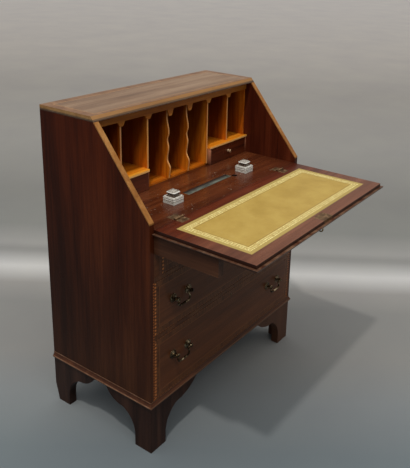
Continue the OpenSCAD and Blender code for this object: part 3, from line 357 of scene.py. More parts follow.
def side_finish():
    """Dark outside, with a painted grey floor reflection towards the foot and warmer towards the top;
    redder inside, with a chequered line beside the drawers.
    """
    f = Finish("side_panel_mahogany", gloss=0.1)
    outer, height = timber(f, "z", *MAHOGANY, broad=16)
    inner, _ = timber(f, "z", *RED_MAHOGANY, broad=16)
    # Painted reflection: the outside is tinted grey-blue towards the foot, as if it mirrored the floor, and
    # warm towards the top.
    upward = f.between(f.z, case_low.z + 0.043, case_high.z - 0.025)
    outer = f.tint(outer, f.mix(upward, paint(222, 248, 255), paint(255, 212, 170)))
    from_middle = f.size(f.x)
    front = f.below(f.y, case_front + SKIN)
    colour = f.mix(f.minus(f.below(from_middle, inner_face + SKIN), front), outer, inner)
    line_middle, line_half, pitch = inner_face + 0.0028, 0.0022, 0.0085
    line_foot, line_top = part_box("lower_drawer_front")[0].z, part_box("middle_drawer_front")[1].z
    line = f.times(f.near(from_middle, line_middle, line_half), front, f.within(f.z, line_foot, line_top))
    inlay = chequer(f, f.z, pitch, paint(178, 98, 46), paint(66, 32, 18))
    return polish(f, f.mix(line, colour, inlay), height, wear=0.35)


def top_finish():
    """Faded field in a lighter crossbanded border; edges with a painted golden highlight above, grey below,
    and painted shadow at the foot.
    """
    low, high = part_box("top_board")
    f = Finish("top_faded_mahogany", gloss=0.3)
    field, height = timber(f, "x", *FADED_MAHOGANY, broad=20)
    inset, run, _ = rim(f, (f.x, low.x, high.x), (f.y, low.y, high.y))
    border_end, light_end, dark_end = 0.026, 0.0278, 0.029
    colour = band(f, field, crossband(f, run, inset, *TOP_BORDER), inset, EDGE, border_end)
    colour = band(f, colour, paint(204, 150, 96), inset, border_end, light_end)
    colour = band(f, colour, EBONY, inset, light_end, dark_end)
    # Painted highlight and shadow on the front edge: golden above, grey lower down, and dark at the foot.
    golden, _ = timber(f, "x", *GOLDEN_MAHOGANY, shift=4)
    grey, _ = timber(f, "x", *GREY_MAHOGANY, shift=4)
    grey_end, golden_start = low.z + 0.0056, low.z + 0.0070
    shadow_full, shadow_end = low.z + 0.0016, low.z + 0.0026
    edge_wood = f.mix(f.between(f.z, grey_end, golden_start), grey, golden)
    edge_wood = f.mix(f.between(f.z, shadow_end, shadow_full), edge_wood, paint(58, 34, 22))
    colour = f.mix(f.below(f.z, high.z - SKIN), colour, edge_wood)
    return polish(f, colour, height, 0.34, wear=0.7, worn=paint(196, 156, 112))


def drawer_finish(name):
    """A dark field in a crossbanded border, a chequered line outside it and two plain lines inside."""
    low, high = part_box(name)
    f = Finish(name + "_inlaid", gloss=0.18)
    field, height = timber(f, "x", *DRAWER_MAHOGANY, broad=20, shift=low.z * 9)
    inset, run, at_end = rim(f, (f.x, low.x, high.x), (f.z, low.z, high.z))
    border_start, border_end, dark_end, light_end = 0.003, 0.0185, 0.0193, 0.0211
    colour = band(f, field, crossband(f, run, inset, *BORDER), inset, border_start, border_end)
    # Painted light: the chequered line is brighter at the drawer's left end, where the light falls, than at
    # its right end.
    end_light = f.mix(f.above(f.x, 0.0), paint(206, 120, 58), paint(146, 86, 46))
    light = f.mix(at_end, paint(124, 72, 38), end_light)
    dark = f.mix(at_end, paint(88, 48, 25), paint(100, 54, 28))
    line_start, line_end, wider_at_ends, pitch = 0.0003, 0.0036, 0.0030, 0.0112
    line_end = f.plus(line_end, f.times(at_end, wider_at_ends))
    colour = band(f, colour, chequer(f, run, pitch, light, dark), inset, line_start, line_end)
    colour = band(f, colour, EBONY, inset, border_end, dark_end)
    colour = band(f, colour, paint(136, 80, 42), inset, dark_end, light_end)
    return polish(f, colour, height)


def rail_finish():
    """The rails between drawers, crossbanded like the borders beside them."""
    f = Finish("rail_crossbanding", gloss=0.18)
    _, height = timber(f, "z", *DRAWER_MAHOGANY)
    return polish(f, crossband(f, f.x, f.z, *BORDER), height)


def nest_finish(name, along, tones, front_highlight=0.0):
    """Satinwood with painted shade toward the top and back of the pigeonholes, out of the light, and where
    given a painted highlight on faces that look forward.
    """
    low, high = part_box("nest_partitions")
    f = Finish("nest_satinwood_" + name, gloss=0.15)
    colour, height = timber(f, along, *tones)
    across, forward, _ = f.add("ShaderNodeSeparateXYZ", f.facing).outputs
    if along == "x":
        upright, _ = timber(f, "z", *tones)
        colour = f.mix(f.above(f.size(across), 0.7), colour, upright)
    # Painted shade: darker toward the back, and on the uprights along a slant that follows the lamp's
    # shadow under the top board.
    depth = f.waver(f.y, 11, 0.03)
    start, full = low.y + 0.006, low.y + 0.085
    if along == "z":
        start, full = low.y - 0.004, low.y + 0.026
        level_top, lean = high.z - 0.05, 0.26
        depth = f.minus(depth, f.times(f.minus(level_top, f.z), lean))
    painted_shade = f.tint(colour, paint(152, 132, 112))
    colour = f.mix(f.between(depth, start, full), colour, painted_shade)
    # Painted highlight on the faces that look forward.
    if front_highlight:
        pale = f.times(f.between(forward, -0.3, -0.7), front_highlight)
        colour = f.mix(pale, colour, paint(240, 196, 136))
    return polish(f, colour, height, 0.36, wear=0.45, worn=paint(240, 200, 140))


def small_drawer_finish(name):
    """Red polished fronts, with a painted highlight at both ends that fades towards the foot."""
    low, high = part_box(name)
    f = Finish(name + "_mahogany", gloss=0.5)
    colour, height = timber(f, "x", *SMALL_DRAWER_MAHOGANY)
    # Painted highlight: both ends are lightened, most at the top, where a corner catches the light.
    from_end = f.waver(f.inside(f.x, low.x, high.x), 60, 0.003)
    highlight_full, highlight_end = 0.0036, 0.0080
    wear_and_highlight = f.times(f.between(from_end, highlight_end, highlight_full), f.between(f.z, low.z, high.z))
    colour = f.mix(wear_and_highlight, colour, paint(222, 146, 104))
    return polish(f, colour, height, 0.25, wear=0.8)


def moulding_finish():
    """Painted highlights along its nose and top edge, dimmer on the front run, and darker mahogany in the
    hollow between.
    """
    low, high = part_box("plinth_moulding")
    front_depth, nose_middle, nose_half, top_edge = 0.0065, 0.0062, 0.0016, 0.0022
    f = Finish("plinth_moulding_mahogany", gloss=0.2)
    colour, height = timber(f, "x", *MOULDING_MAHOGANY)
    # Painted highlight on the nose and the top edge; the front run's is dimmed, as it takes less light.
    light, _ = timber(f, "x", *MOULDING_HIGHLIGHT, shift=3)
    light = f.mix(f.times(f.below(f.y, low.y + front_depth), 0.6), light, paint(74, 44, 24))
    nose = f.near(f.z, low.z + nose_middle, nose_half)
    colour = f.mix(f.most(nose, f.above(f.z, high.z - top_edge)), colour, light)
    return polish(f, colour, height, wear=0.4, worn=paint(160, 116, 86))


def foot_finish():
    """Dark mahogany feet, with painted light making the right pair a little lighter than the left."""
    f = Finish("foot_mahogany", gloss=0.12)
    colour, height = timber(f, "z", *FOOT_MAHOGANY, shift=4)
    # Painted light: the right pair is lightened, and the left pair stands in shade.
    lit_right_pair = f.mix(0.16, colour, paint(150, 96, 62))
    return polish(f, f.mix(f.above(f.x, 0.0), colour, lit_right_pair), height)


def lipping_finish():
    """The lip round the fall: a painted highlight in patches along its top, dimmed along its left end, over
    dark mahogany below.
    """
    low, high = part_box("fall_lipping")
    left_width, highlight_from, highlight_to = 0.014, 0.0022, 0.0008
    f = Finish("fall_lipping_mahogany", gloss=0.3)
    colour, height = timber(f, "x", *LIPPING_MAHOGANY)
    light, _ = timber(f, "x", *LIPPING_HIGHLIGHT, shift=3)
    # Painted highlight on the lip's top, in patches, and dimmed along its left end.
    on_top = f.between(f.z, high.z - highlight_from, high.z - highlight_to)
    wear_and_highlight = f.times(on_top, f.between(f.noise(30), 0.36, 0.6))
    light = f.mix(f.times(f.below(f.x, low.x + left_width), 0.55), light, paint(60, 38, 28))
    colour = f.mix(wear_and_highlight, colour, light)
    return polish(f, colour, height, wear=0.4, worn=paint(160, 118, 90))


def fall_finish():
    """Inside paler at the front and red at the hinges, with painted shade and dirt on its edges; outside,
    seen when shut, banded like the drawers.
    """
    low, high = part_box("fall_board")
    lip_low, lip_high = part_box("fall_lipping")
    f = Finish("fall_mahogany", gloss=0.3)
    inside, height = timber(f, "x", *FALL_MAHOGANY, broad=18)
    red, _ = timber(f, "x", *RED_MAHOGANY, broad=18)
    pale_end, red_start = low.y + 0.0666, high.y - 0.0873
    inside = f.mix(f.between(f.y, pale_end, red_start), inside, red)
    # Painted shade and dirt: the board's edges, below its top face, are dark.
    inside = f.mix(f.below(f.z, high.z - SKIN), inside, paint(48, 20, 8))
    outside, _ = timber(f, "x", *DRAWER_MAHOGANY, broad=18, shift=2)
    inset, run, _ = rim(f, (f.x, lip_low.x, lip_high.x), (f.y, lip_low.y, high.y))
    border_end, line_end, pitch = 0.026, 0.029, 0.0062
    outside = band(f, outside, crossband(f, run, inset, *BORDER), inset, EDGE, border_end)
    stringing = chequer(f, run, pitch, paint(170, 106, 58), paint(44, 24, 15))
    outside = band(f, outside, stringing, inset, border_end, line_end)
    return polish(f, f.mix(f.below(f.z, low.z + SKIN), inside, outside), height, 0.28, wear=0.35)


def bed_finish():
    """Polished red bed with small pale chips and scratches; the round dip is painted near black as shade.
    """
    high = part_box("writing_bed")[1]
    tray_low, tray_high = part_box("pen_tray")
    dip_out, dip_forward, dip_reach = 0.012, 0.017, 0.0105
    dip_x, dip_y = tray_high.x + dip_out, (tray_low.y + tray_high.y) / 2 - dip_forward
    f = Finish("bed_mahogany", coat=0.35)
    colour, height = timber(f, "x", *BED_MAHOGANY, broad=18)
    sunk = f.below(f.z, high.z - SKIN)
    # Painted shade: the round dip sunk in the bed is painted near black.
    dip = f.times(f.near(f.x, dip_x, dip_reach), sunk, f.near(f.y, dip_y, dip_reach))
    colour = f.mix(dip, colour, paint(20, 10, 7))
    chips = f.between(f.noise(150, detail=2, shift=11), 0.695, 0.71)
    scattered = f.between(f.noise(7, detail=2, shift=4), 0.5, 0.6)
    colour = f.mix(f.times(chips, scattered), colour, paint(222, 202, 174))
    scratch = f.between(f.noise(60, (0.05, 1.6, 1.0), shift=6), 0.69, 0.72)
    colour = f.mix(f.times(scratch, 0.3), colour, paint(150, 96, 66))
    return polish(f, colour, height, 0.26, wear=0.4)


def leather_finish():
    """Olive gold skin with a tooled border: plain margin, gold chain between lines, and dark line."""
    low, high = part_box("fall_leather")
    f = Finish("tooled_leather")
    inset, run, _ = rim(f, (f.x, low.x, high.x), (f.y, low.y, high.y))
    patches = f.noise(14, detail=5, rough=0.6)
    field = f.ramp(patches, *zip((0.36, 0.5, 0.66), OLIVE_LEATHER))
    wear_and_highlight = f.between(f.noise(60, detail=5, shift=3), 0.6, 0.78)
    field = f.mix(f.times(wear_and_highlight, 0.2), field, paint(204, 178, 112))
    rim_width, chain_start, chain_end, gold_line = 0.0012, 0.0128, 0.0292, 0.0013
    colour = band(f, field, paint(178, 150, 80), inset, EDGE, chain_start)
    colour = band(f, colour, paint(140, 118, 66), inset, EDGE, rim_width)
    gold = f.ramp(f.noise(230, shift=1), *zip((0.4, 0.6), GOLD_LEAF))
    chain_middle, chain_half, oval_pitch = 0.0212, 0.0105, 0.0085
    step = f.wave(run, oval_pitch)
    off = f.over(f.size(f.minus(inset, chain_middle)), chain_half)
    petal = f.below(f.plus(f.times(step, 1.5), off), 0.78)
    ring = f.near(f.plus(f.times(step, 1.4), off), 0.5, 0.1)
    motif = f.most(f.minus(petal, ring), f.near(off, 0.66, 0.11))
    motif = f.times(motif, f.between(f.noise(90, shift=5), 0.3, 0.45))
    colour = band(f, colour, f.mix(motif, paint(178, 147, 78), gold), inset, chain_start, chain_end)
    colour = band(f, colour, gold, inset, chain_start, chain_start + gold_line)
    colour = band(f, colour, gold, inset, chain_end - gold_line, chain_end)
    dark_start, dark_end = 0.0318, 0.0335
    colour = band(f, colour, paint(150, 122, 62), inset, dark_start, dark_end)
    grain = f.add("ShaderNodeTexVoronoi", f.place, None, 900.0).outputs[0]
    pressed = f.within(inset, chain_start, chain_end)
    height = f.minus(f.times(grain, 0.4), f.times(pressed, motif, 0.5))
    sheen = f.plus(0.42, f.times(patches, 0.2))
    return f.finish(colour, sheen, height, depth=0.0003, strength=0.5)


def brass_finish(name, bright, dull, dark, tarnish, roughness=0.32):
    """Brass with tarnish in patches, and a cleaner shine where fingers and edges rub."""
    f = Finish(name, metal=1.0, gloss=0.5)
    eased, on_edge = f.soft_edges(BRASS_EDGE)
    patches = f.noise(70, detail=5, rough=0.65)
    colour = f.ramp(patches, (0.38, dark), (0.52, dull), (0.66, bright))
    colour = f.mix(f.times(on_edge, 0.7), colour, bright)
    specks = f.between(f.noise(240, shift=2), 0.52, 0.68)
    colour = f.mix(f.times(specks, tarnish), colour, dark)
    sheen = f.plus(roughness - 0.1, f.times(patches, 0.3))
    return f.finish(colour, sheen, f.noise(900, detail=2), depth=0.0001, strength=0.25, normal=eased)


def glass_finish(name, bottom, dark_low, dark_high):
    """Cut glass: painted reflections, white on the ribs and dark in the cuts between them, and painted
    shadow on the neck between two heights.
    """
    f = Finish("cut_glass_" + name, clear=0.2, gloss=0.6)
    rib_pitch = 0.0048
    notches = f.between(f.noise(420, detail=2), 0.44, 0.56)
    cuts = f.plus(f.wave(f.minus(f.z, bottom), rib_pitch), f.times(notches, 0.16))
    # Painted reflection: white on the ribs and dark in the cuts.
    colour = f.ramp(cuts, *zip((0.08, 0.16, 0.32), CUT_GLASS))
    # Painted shadow on the neck, where the lid sits.
    neck = f.ramp(f.noise(300, detail=2, shift=2), *zip((0.4, 0.6), DARK_GLASS))
    colour = f.mix(f.within(f.z, dark_low, dark_high), colour, neck)
    return f.finish(colour, 0.06, cuts, depth=0.0006, strength=0.6)


def tray_finish():
    """The pen tray's grey-green, worn in patches, stained, and with painted shade along its back edge."""
    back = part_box("pen_tray")[1].y
    f = Finish("pen_tray_grey")
    patches = f.noise(40, (0.4, 1, 1), detail=5)
    colour = f.ramp(patches, *zip((0.36, 0.5, 0.66), TRAY_GREY))
    stain = f.between(f.noise(24, detail=4, shift=6), 0.56, 0.7)
    colour = f.mix(f.times(stain, 0.6), colour, paint(40, 30, 24))
    # Painted shade along the tray's back edge.
    shade_start, shade_full = back - 0.009, back - 0.003
    colour = f.mix(f.between(f.y, shade_start, shade_full), colour, paint(44, 26, 18))
    eased, _ = f.soft_edges(TRAY_EDGE)
    return f.finish(colour, 0.5, f.noise(500), normal=eased)


def dress(material, *names):
    """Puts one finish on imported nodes."""
    for name in names:
        for place in nodes[name].material_slots:
            place.material = material


dress(side_finish(), "side_left", "side_right")
dress(top_finish(), "top_board")
slant_wood = plain_wood("slant_lipping_wood", "z", SLANT_LIPPING, wear=0.5, worn=paint(220, 176, 120))
dress(slant_wood, "slant_lippings")
dress(raw_wood("back_board_pine", "z", STAINED_PINE), "back_boards")
inner_pine = raw_wood("inner_board_pine", "x", STAINED_PINE, faced=True)
dress(inner_pine, "base_board", "dustboards", "loper_partitions")
dress(rail_finish(), "drawer_rails")
dress(plain_wood("bearer_mahogany", "y", DRAWER_MAHOGANY), "loper_bearers")
dress(bed_finish(), "writing_bed")
dress(moulding_finish(), "plinth_moulding")
dress(foot_finish(), "front_bracket_feet", "rear_bracket_feet")
dress(nest_finish("upright", "z", SATINWOOD, front_highlight=0.4), "nest_partitions", "serpentine_dividers")
dress(nest_finish("case", "x", CASE_SATINWOOD), "nest_case")
dress(nest_finish("shelf", "x", PALE_SATINWOOD, front_highlight=0.5), "nest_shelves")
dress(nest_finish("valance", "x", BROWN_SATINWOOD), "pigeonhole_valance")
for front in ("small_drawer_left_front", "small_drawer_right_front"):
    dress(small_drawer_finish(front), front)
dress(fall_finish(), "fall_board")
dress(lipping_finish(), "fall_lipping")
dress(plain_wood("loper_mahogany", "y", LOPER_MAHOGANY, wear=0.5, shift=5), "loper_left", "loper_right")
dress(leather_finish(), "fall_leather")
for front in ("upper_drawer_front", "middle_drawer_front", "lower_drawer_front"):
    dress(drawer_finish(front), front)
lining = raw_wood("drawer_lining", "y", DRAWER_LINING)
dress(lining, *(n for n in nodes if n.endswith(("_box", "_base"))))
fittings = brass_finish("hinge_and_lock_brass", *OLD_BRASS, tarnish=0.5)
dress(fittings, "fall_bolt", "fall_escutcheon", "strike_plate", "fall_key")
plates = brass_finish("hinge_and_plate_brass", *DULL_BRASS, tarnish=0.3, roughness=0.45)
dress(plates, "bed_hinge_leaves", "fall_hinge_leaves", "fall_lock")
handles = brass_finish("handle_brass", *DARK_BRASS, tarnish=0.6)
dress(handles, *(n for n in nodes if "_bail_" in n or n.endswith("_brasses")))
knobs = brass_finish("knob_brass", *KNOB_BRASS, tarnish=0.2, roughness=0.4)
dress(knobs, "small_drawer_left_knob", "small_drawer_right_knob")
dress(tray_finish(), "pen_tray")


# Pieces


def mesh_data(name, mesh):
    """A bmesh written to a mesh that an object can use, and freed."""
    data = bpy.data.meshes.new(name)
    mesh.to_mesh(data)
    mesh.free()
    return data


def placed(name, data):
    """An object with this data, in the scene and at the origin."""
    made = bpy.data.objects.new(name, data)
    bpy.context.scene.collection.objects.link(made)
    return made


def join(whole, part):
    """Adds one bmesh to another, and frees the one that was added."""
    data = mesh_data("joined", part)
    whole.from_mesh(data)
    bpy.data.meshes.remove(data)


def piece(name, mesh, material, body):
    """A finished piece from a bmesh, riding on a body."""
    bmesh.ops.recalc_face_normals(mesh, faces=mesh.faces)
    data = mesh_data(name, mesh)
    data.materials.append(material)
    made = placed(name, data)
    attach(made, body)
    return made


def everything(mesh):
    """All that a bmesh holds, as its operators ask for it."""
    return mesh.verts[:] + mesh.edges[:] + mesh.faces[:]


def level_cut(mesh, heights):
    """Cuts the whole mesh level at each height."""
    for height in heights:
        bmesh.ops.bisect_plane(mesh, geom=everything(mesh), plane_co=(0, 0, height), plane_no=(0, 0, 1))


def spread(mesh, height, share):
    """Draws the ring of points at one height in or out from the middle."""
    ring = [v for v in mesh.verts if abs(v.co.z - height) < 1e-5]
    bmesh.ops.scale(mesh, vec=(share, share, 1), verts=ring)


def highest_face(mesh):
    return max(mesh.faces, key=lambda f: f.calc_center_median().z)


def smallest_top_face(mesh):
    """The smallest of the faces that look up from the greatest height."""
    looking_up = [f for f in mesh.faces if f.normal.z > 0.9]
    return max(looking_up, key=lambda f: (round(f.calc_center_median().z, 6), -f.calc_area()))


def glass_block(width, low, high, corner):
    """A square block of glass standing on the z axis, its upright corners cut off."""
    mesh = bmesh.new()
    bmesh.ops.create_cube(mesh, size=1)
    bmesh.ops.scale(mesh, vec=(width, width, high - low), verts=mesh.verts)
    bmesh.ops.translate(mesh, vec=(0, 0, (high + low) / 2), verts=mesh.verts)
    upright = [e for e in mesh.edges if abs(e.verts[0].co.z - e.verts[1].co.z) > 1e-6]
    bmesh.ops.bevel(
        mesh, geom=upright, offset=corner, segments=1, affect="EDGES", profile=0.5, material=-1
    )
    return mesh


# How much narrower a glass piece is than the plain one that it replaces, and the size of its cut corners
GLASS_PLAY, CUT_CORNER = 0.0002, 0.003


def inkwell(side):
    """A ribbed block with a sloped shoulder, and a narrow well sunk in one corner of its neck."""
    low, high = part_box("inkwell_" + side)
    bottom, top = low.z, high.z
    mesh = glass_block(high.x - low.x - GLASS_PLAY, bottom, top, CUT_CORNER)
    # The width at each height above the bottom, as a share of the full width
    groove_half, groove_share, neck_height, neck_share = 0.0015, 0.92, 0.0236, 0.56
    widths = {0.0: 0.94, 0.0015: 1.0}
    for groove in (0.0090, 0.0170):
        widths |= {groove - groove_half: 1.0, groove: groove_share, groove + groove_half: 1.0}
    widths |= {0.0205: 1.0, 0.0226: 0.9, neck_height: neck_share}
    level_cut(mesh, [bottom + height for height in widths if height])
    for height, share in widths.items():
        spread(mesh, bottom + height, share)
    spread(mesh, top, neck_share)
    rim_width = 0.0025
    bmesh.ops.inset_region(mesh, faces=[highest_face(mesh)], thickness=rim_width)
    well = smallest_top_face(mesh)
    # Each step is how far down the well goes, and its distance from the middle as a share of the last.
    for drop, share in ((0.004, 0.92), (0.0165, 1.12), (0.004, 0.7)):
        moved = bmesh.ops.extrude_face_region(mesh, geom=[well])["geom"]
        bmesh.ops.delete(mesh, geom=[well], context="FACES_ONLY")
        well = next(g for g in moved if isinstance(g, bmesh.types.BMFace))
        bmesh.ops.translate(mesh, vec=(0, 0, -drop), verts=well.verts)
        bmesh.ops.scale(mesh, vec=(share, share, 1), verts=well.verts)
    centre = (low + high) / 2
    bmesh.ops.translate(mesh, vec=(centre.x, centre.y, 0), verts=mesh.verts)
    # The neck's painted shadow reaches from just below the neck to just above the top.
    dark_low, dark_high = bottom + neck_height - 0.0006, top + 0.0010
    glass = glass_finish("block_" + side, bottom, dark_low, dark_high)
    made = piece("cut_inkwell_" + side, mesh, glass, "case")
    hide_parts("inkwell_" + side)


def inkwell_lid(side):
    """A square lid with a narrow foot and a dished crown, on a round stopper."""
    low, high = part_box("inkwell_lid_" + side)
    band_height, band_start, band_end = 0.0064, 0.0016, 0.0034
    foot_share, crown_share, crown_rim, crown_dish = 0.84, 0.8, 0.0035, 0.0012
    foot = high.z - band_height
    mesh = glass_block(high.x - low.x - GLASS_PLAY, foot, high.z, CUT_CORNER)
    level_cut(mesh, [foot + band_start, foot + band_end])
    spread(mesh, foot, foot_share)
    spread(mesh, high.z, crown_share)
    bmesh.ops.inset_region(mesh, faces=[highest_face(mesh)], thickness=crown_rim, depth=-crown_dish)
    stopper_play = 0.0004
    stopper = bmesh.ops.create_cone(
        mesh, cap_ends=True, segments=24, radius1=0.0085, radius2=0.0092, depth=foot - low.z - stopper_play
    )["verts"]
    bmesh.ops.translate(mesh, vec=(0, 0, (foot + low.z - stopper_play) / 2), verts=stopper)
    centre = (low + high) / 2
    bmesh.ops.translate(mesh, vec=(centre.x, centre.y, 0), verts=mesh.verts)
    # The lid's painted shadow covers the stopper and the lid's foot.
    rib_bottom, dark_high = foot - 0.0014, foot + 0.0004
    glass = glass_finish("lid_" + side, rib_bottom, low.z, dark_high)
    made = piece("cut_lid_" + side, mesh, glass, "inkwell_lid_" + side)
    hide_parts("inkwell_lid_" + side)


for side in ("left", "right"):
    inkwell(side)
    inkwell_lid(side)


def slotted_head(across):
    """A flat round screw head that faces +z, its slot left open between two raised halves."""
    segments, half_share, slot_share, rise = 20, 0.97, 0.07, 0.0004
    head = bmesh.new()
    bmesh.ops.create_circle(head, cap_ends=True, segments=segments, radius=across / 2)
    for way in (1, -1):
        half = bmesh.new()
        bmesh.ops.create_circle(half, cap_ends=True, segments=segments, radius=across / 2 * half_share)
        slot_edge = (0, way * across * slot_share, 0)
        bmesh.ops.bisect_plane(
            half, geom=everything(half), plane_co=slot_edge, plane_no=(0, way, 0), clear_inner=True
        )
        raised = bmesh.ops.extrude_face_region(half, geom=half.faces[:])["geom"]
        corners = [g for g in raised if isinstance(g, bmesh.types.BMVert)]
        bmesh.ops.translate(half, vec=(0, 0, rise), verts=corners)
        join(head, half)
    return head


def screw_heads(name, spots, across, turn, body):
    """Slotted screw heads at (x, y, z), each slot at its own angle. turn stands them up from facing +z."""
    mesh = bmesh.new()
    for count, spot in enumerate(spots):
        head = slotted_head(across)
        slot_angle = 0.7 + 1.3 * count
        bmesh.ops.rotate(head, matrix=Matrix.Rotation(slot_angle, 3, "Z"), verts=head.verts)
        bmesh.ops.rotate(head, matrix=turn, verts=head.verts)
        bmesh.ops.translate(head, vec=spot, verts=head.verts)
        join(mesh, head)
    piece(name, mesh, plates, body)


# How far a screw head's rim stands off its plate
PROUD = 0.00012
# Three screws in each hinge leaf: how far each is from the hinge line, and how far sideways
LEAF_SCREWS = ((0.012, -0.0115), (0.012, 0.0115), (0.022, 0.0))
HINGE_WIDTH, KNUCKLE_RADIUS = 0.036, 0.0034
# How wide a screw head is, and how far each screw of the lock and the strike plate is from the middle
LEAF_SCREW, LOCK_SCREW, STRIKE_SCREW = 0.0062, 0.0045, 0.004
LOCK_REACH, STRIKE_REACH, LOCK_SCREWS_IN = 0.021, 0.023, 0.010

upwards, downwards = Matrix.Identity(3), Matrix.Rotation(math.pi, 3, "X")
leaf_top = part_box("writing_bed")[1].z + PROUD
leaves_low, leaves_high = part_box("bed_hinge_leaves")
hinge_x, hinge_line = leaves_high.x - HINGE_WIDTH / 2, leaves_low.y + KNUCKLE_RADIUS
for leaf, way, body in (("bed", 1, "case"), ("fall", -1, "fall")):
    spots = []
    for x in (-hinge_x, hinge_x):
        for away, sideways in LEAF_SCREWS:
            spots.append((x + sideways, hinge_line + way * away, leaf_top))
    screw_heads(leaf + "_hinge_screws", spots, LEAF_SCREW, upwards, body)

lock_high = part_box("fall_lock")[1]
lock_y, lock_z = lock_high.y - LOCK_SCREWS_IN, lock_high.z + PROUD
lock_spots = [(x, lock_y, lock_z) for x in (-LOCK_REACH, LOCK_REACH)]
screw_heads("lock_plate_screws", lock_spots, LOCK_SCREW, upwards, "fall")

strike_low, strike_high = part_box("strike_plate")
strike_y = (strike_low.y + strike_high.y) / 2
strike_spots = [(x, strike_y, strike_low.z - PROUD) for x in (-STRIKE_REACH, STRIKE_REACH)]
screw_heads("strike_plate_screws", strike_spots, STRIKE_SCREW, downwards, "case")


# Studio

# The camera's angles, place, lens and shift, solved together from the desk's straight edges
YAW, PITCH, ROLL = (math.radians(angle) for angle in (55.54, -17.46, 1.98))
CAMERA_PLACE = Vector((-1.53143, -1.09373, 1.42051))
PHOTO_WIDTH, LENS_PIXELS, SENSOR_WIDTH = 410, 641.42, 36
SHIFT_X, SHIFT_Y = -0.0756, -0.1954

ahead = Vector((math.sin(YAW) * math.cos(PITCH), math.cos(YAW) * math.cos(PITCH), math.sin(PITCH)))
level = Vector((math.cos(YAW), -math.sin(YAW), 0))
lift = level.cross(ahead)
across = level * math.cos(ROLL) + lift * math.sin(ROLL)
upward = lift * math.cos(ROLL) - level * math.sin(ROLL)
camera_data = bpy.data.cameras.new("camera")
camera_data.sensor_fit = "HORIZONTAL"
camera_data.sensor_width = SENSOR_WIDTH
camera_data.lens = LENS_PIXELS * SENSOR_WIDTH / PHOTO_WIDTH
camera_data.shift_x, camera_data.shift_y = SHIFT_X, SHIFT_Y
camera = placed("camera", camera_data)
turned = Matrix((across, upward, -ahead)).transposed().to_4x4()
camera.matrix_world = Matrix.Translation(CAMERA_PLACE) @ turned
bpy.context.scene.camera = camera


def stage_sheet(name, size, material):
    """One flat square sheet that isn't part of the desk."""
    mesh = bmesh.new()
    bmesh.ops.create_grid(mesh, x_segments=1, y_segments=1, size=size / 2)
    data = mesh_data(name, mesh)
    data.materials.append(material)
    sheet = placed(name, data)


# The steepest slope and the nearest distance that the floor's paint goes by, and the width of its sheet
STEEPEST, NEAREST, FLOOR_SIZE = 1.2, 0.5, 90
# The floor's tones from far to near. Each stands at a slope, which is the camera's height over the
# distance along the floor from the spot below the camera.
# Painted light in these tones: the strip at 0.531 is a painted highlight standing in for a backdrop's bend,
# and the far tones are lightened for the lamps' falloff.
FLOOR_TONES = (
    (0.0, (194, 184, 174)),
    (0.07, (194, 184, 174)),
    (0.15, (178, 168, 157)),
    (0.21, (157, 149, 139)),
    (0.30, (151, 145, 136)),
    (0.39, (131, 127, 119)),
    (0.45, (132, 129, 121)),
    (0.486, (154, 149, 141)),
    (0.499, (138, 134, 127)),
    (0.531, (200, 194, 186)),
    (0.562, (150, 144, 136)),
    (0.60, (136, 132, 125)),
    (0.70, (138, 134, 127)),
    (0.79, (131, 132, 129)),
    (0.91, (113, 119, 119)),
    (STEEPEST, (100, 110, 113)),
)


def studio_floor():
    """Painted grey floor sheet, with a painted highlight as a pale strip behind the desk, and lighter far
    off where the paint makes up for the lamps' light falling away.
    """
    f = Finish("studio_floor")
    heading = Vector((ahead.x, ahead.y)).normalized()
    along = f.waver(f.plus(f.times(f.x, heading.x), f.times(f.y, heading.y)), 0.8, 0.05)
    from_start = f.minus(along, CAMERA_PLACE.x * heading.x + CAMERA_PLACE.y * heading.y)
    slope = f.over(CAMERA_PLACE.z, f.most(from_start, NEAREST))
    stops = ((place / STEEPEST, paint(*tone)) for place, tone in FLOOR_TONES)
    colour = f.ramp(f.over(slope, STEEPEST), *stops)
    clouds = f.between(f.noise(1.6, detail=5, rough=0.6, shift=5), 0.3, 0.7)
    colour = f.tint(colour, f.mix(clouds, paint(244, 244, 246), paint(255, 255, 253)))
    return f.finish(colour, 0.85)


stage_sheet("studio_floor", FLOOR_SIZE, studio_floor())


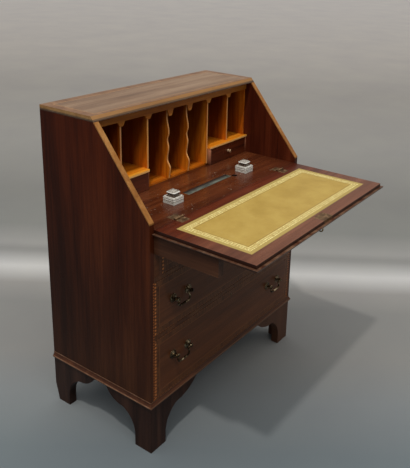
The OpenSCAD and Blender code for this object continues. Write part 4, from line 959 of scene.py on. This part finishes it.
# Where the lamp hangs was worked out from the desk's shadow on the floor.
LAMP_PLACE, LAMP_POWER, LAMP_RADIUS = (-2.50, -1.15, 6.50), 530, 0.14
# The softbox is a wide source, told by the direction that it shines from, its strength and its width.
SOFTBOX_FROM, SOFTBOX_STRENGTH, SOFTBOX_WIDTH = Vector((-0.1, -0.12, 1.0)), 1.75, math.radians(90)

lamp_data = bpy.data.lights.new("key_lamp", "POINT")
lamp_data.energy, lamp_data.shadow_soft_size = LAMP_POWER, LAMP_RADIUS
lamp = placed("key_lamp", lamp_data)
lamp.location = LAMP_PLACE
softbox_data = bpy.data.lights.new("overhead_softbox", "SUN")
softbox_data.energy, softbox_data.angle = SOFTBOX_STRENGTH, SOFTBOX_WIDTH
softbox = placed("overhead_softbox", softbox_data)
softbox.rotation_euler = SOFTBOX_FROM.to_track_quat("Z", "Y").to_euler()


def studio_air():
    """Even light from all round, and a pale backdrop to camera, polish and glass."""
    light, backdrop = (paint(214, 232, 250), 0.35), (paint(168, 162, 154), 1.0)
    world = bpy.data.worlds.new("studio_air")
    world.use_nodes = True
    bpy.context.scene.world = world
    tree = world.node_tree
    tree.nodes.clear()
    path = tree.nodes.new("ShaderNodeLightPath")
    seen = path.outputs["Is Camera Ray"]
    for ray in ("Is Glossy Ray", "Is Transmission Ray"):
        larger = tree.nodes.new("ShaderNodeMath")
        larger.operation = "MAXIMUM"
        tree.links.new(seen, larger.inputs[0])
        tree.links.new(path.outputs[ray], larger.inputs[1])
        seen = larger.outputs[0]
    both = tree.nodes.new("ShaderNodeMixShader")
    tree.links.new(seen, both.inputs[0])
    for index, (colour, strength) in enumerate((light, backdrop), start=1):
        shade = tree.nodes.new("ShaderNodeBackground")
        shade.inputs["Color"].default_value = colour
        shade.inputs["Strength"].default_value = strength
        tree.links.new(shade.outputs[0], both.inputs[index])
    tree.links.new(both.outputs[0], tree.nodes.new("ShaderNodeOutputWorld").inputs[0])


studio_air()
bpy.context.scene.view_settings.view_transform = "Standard"
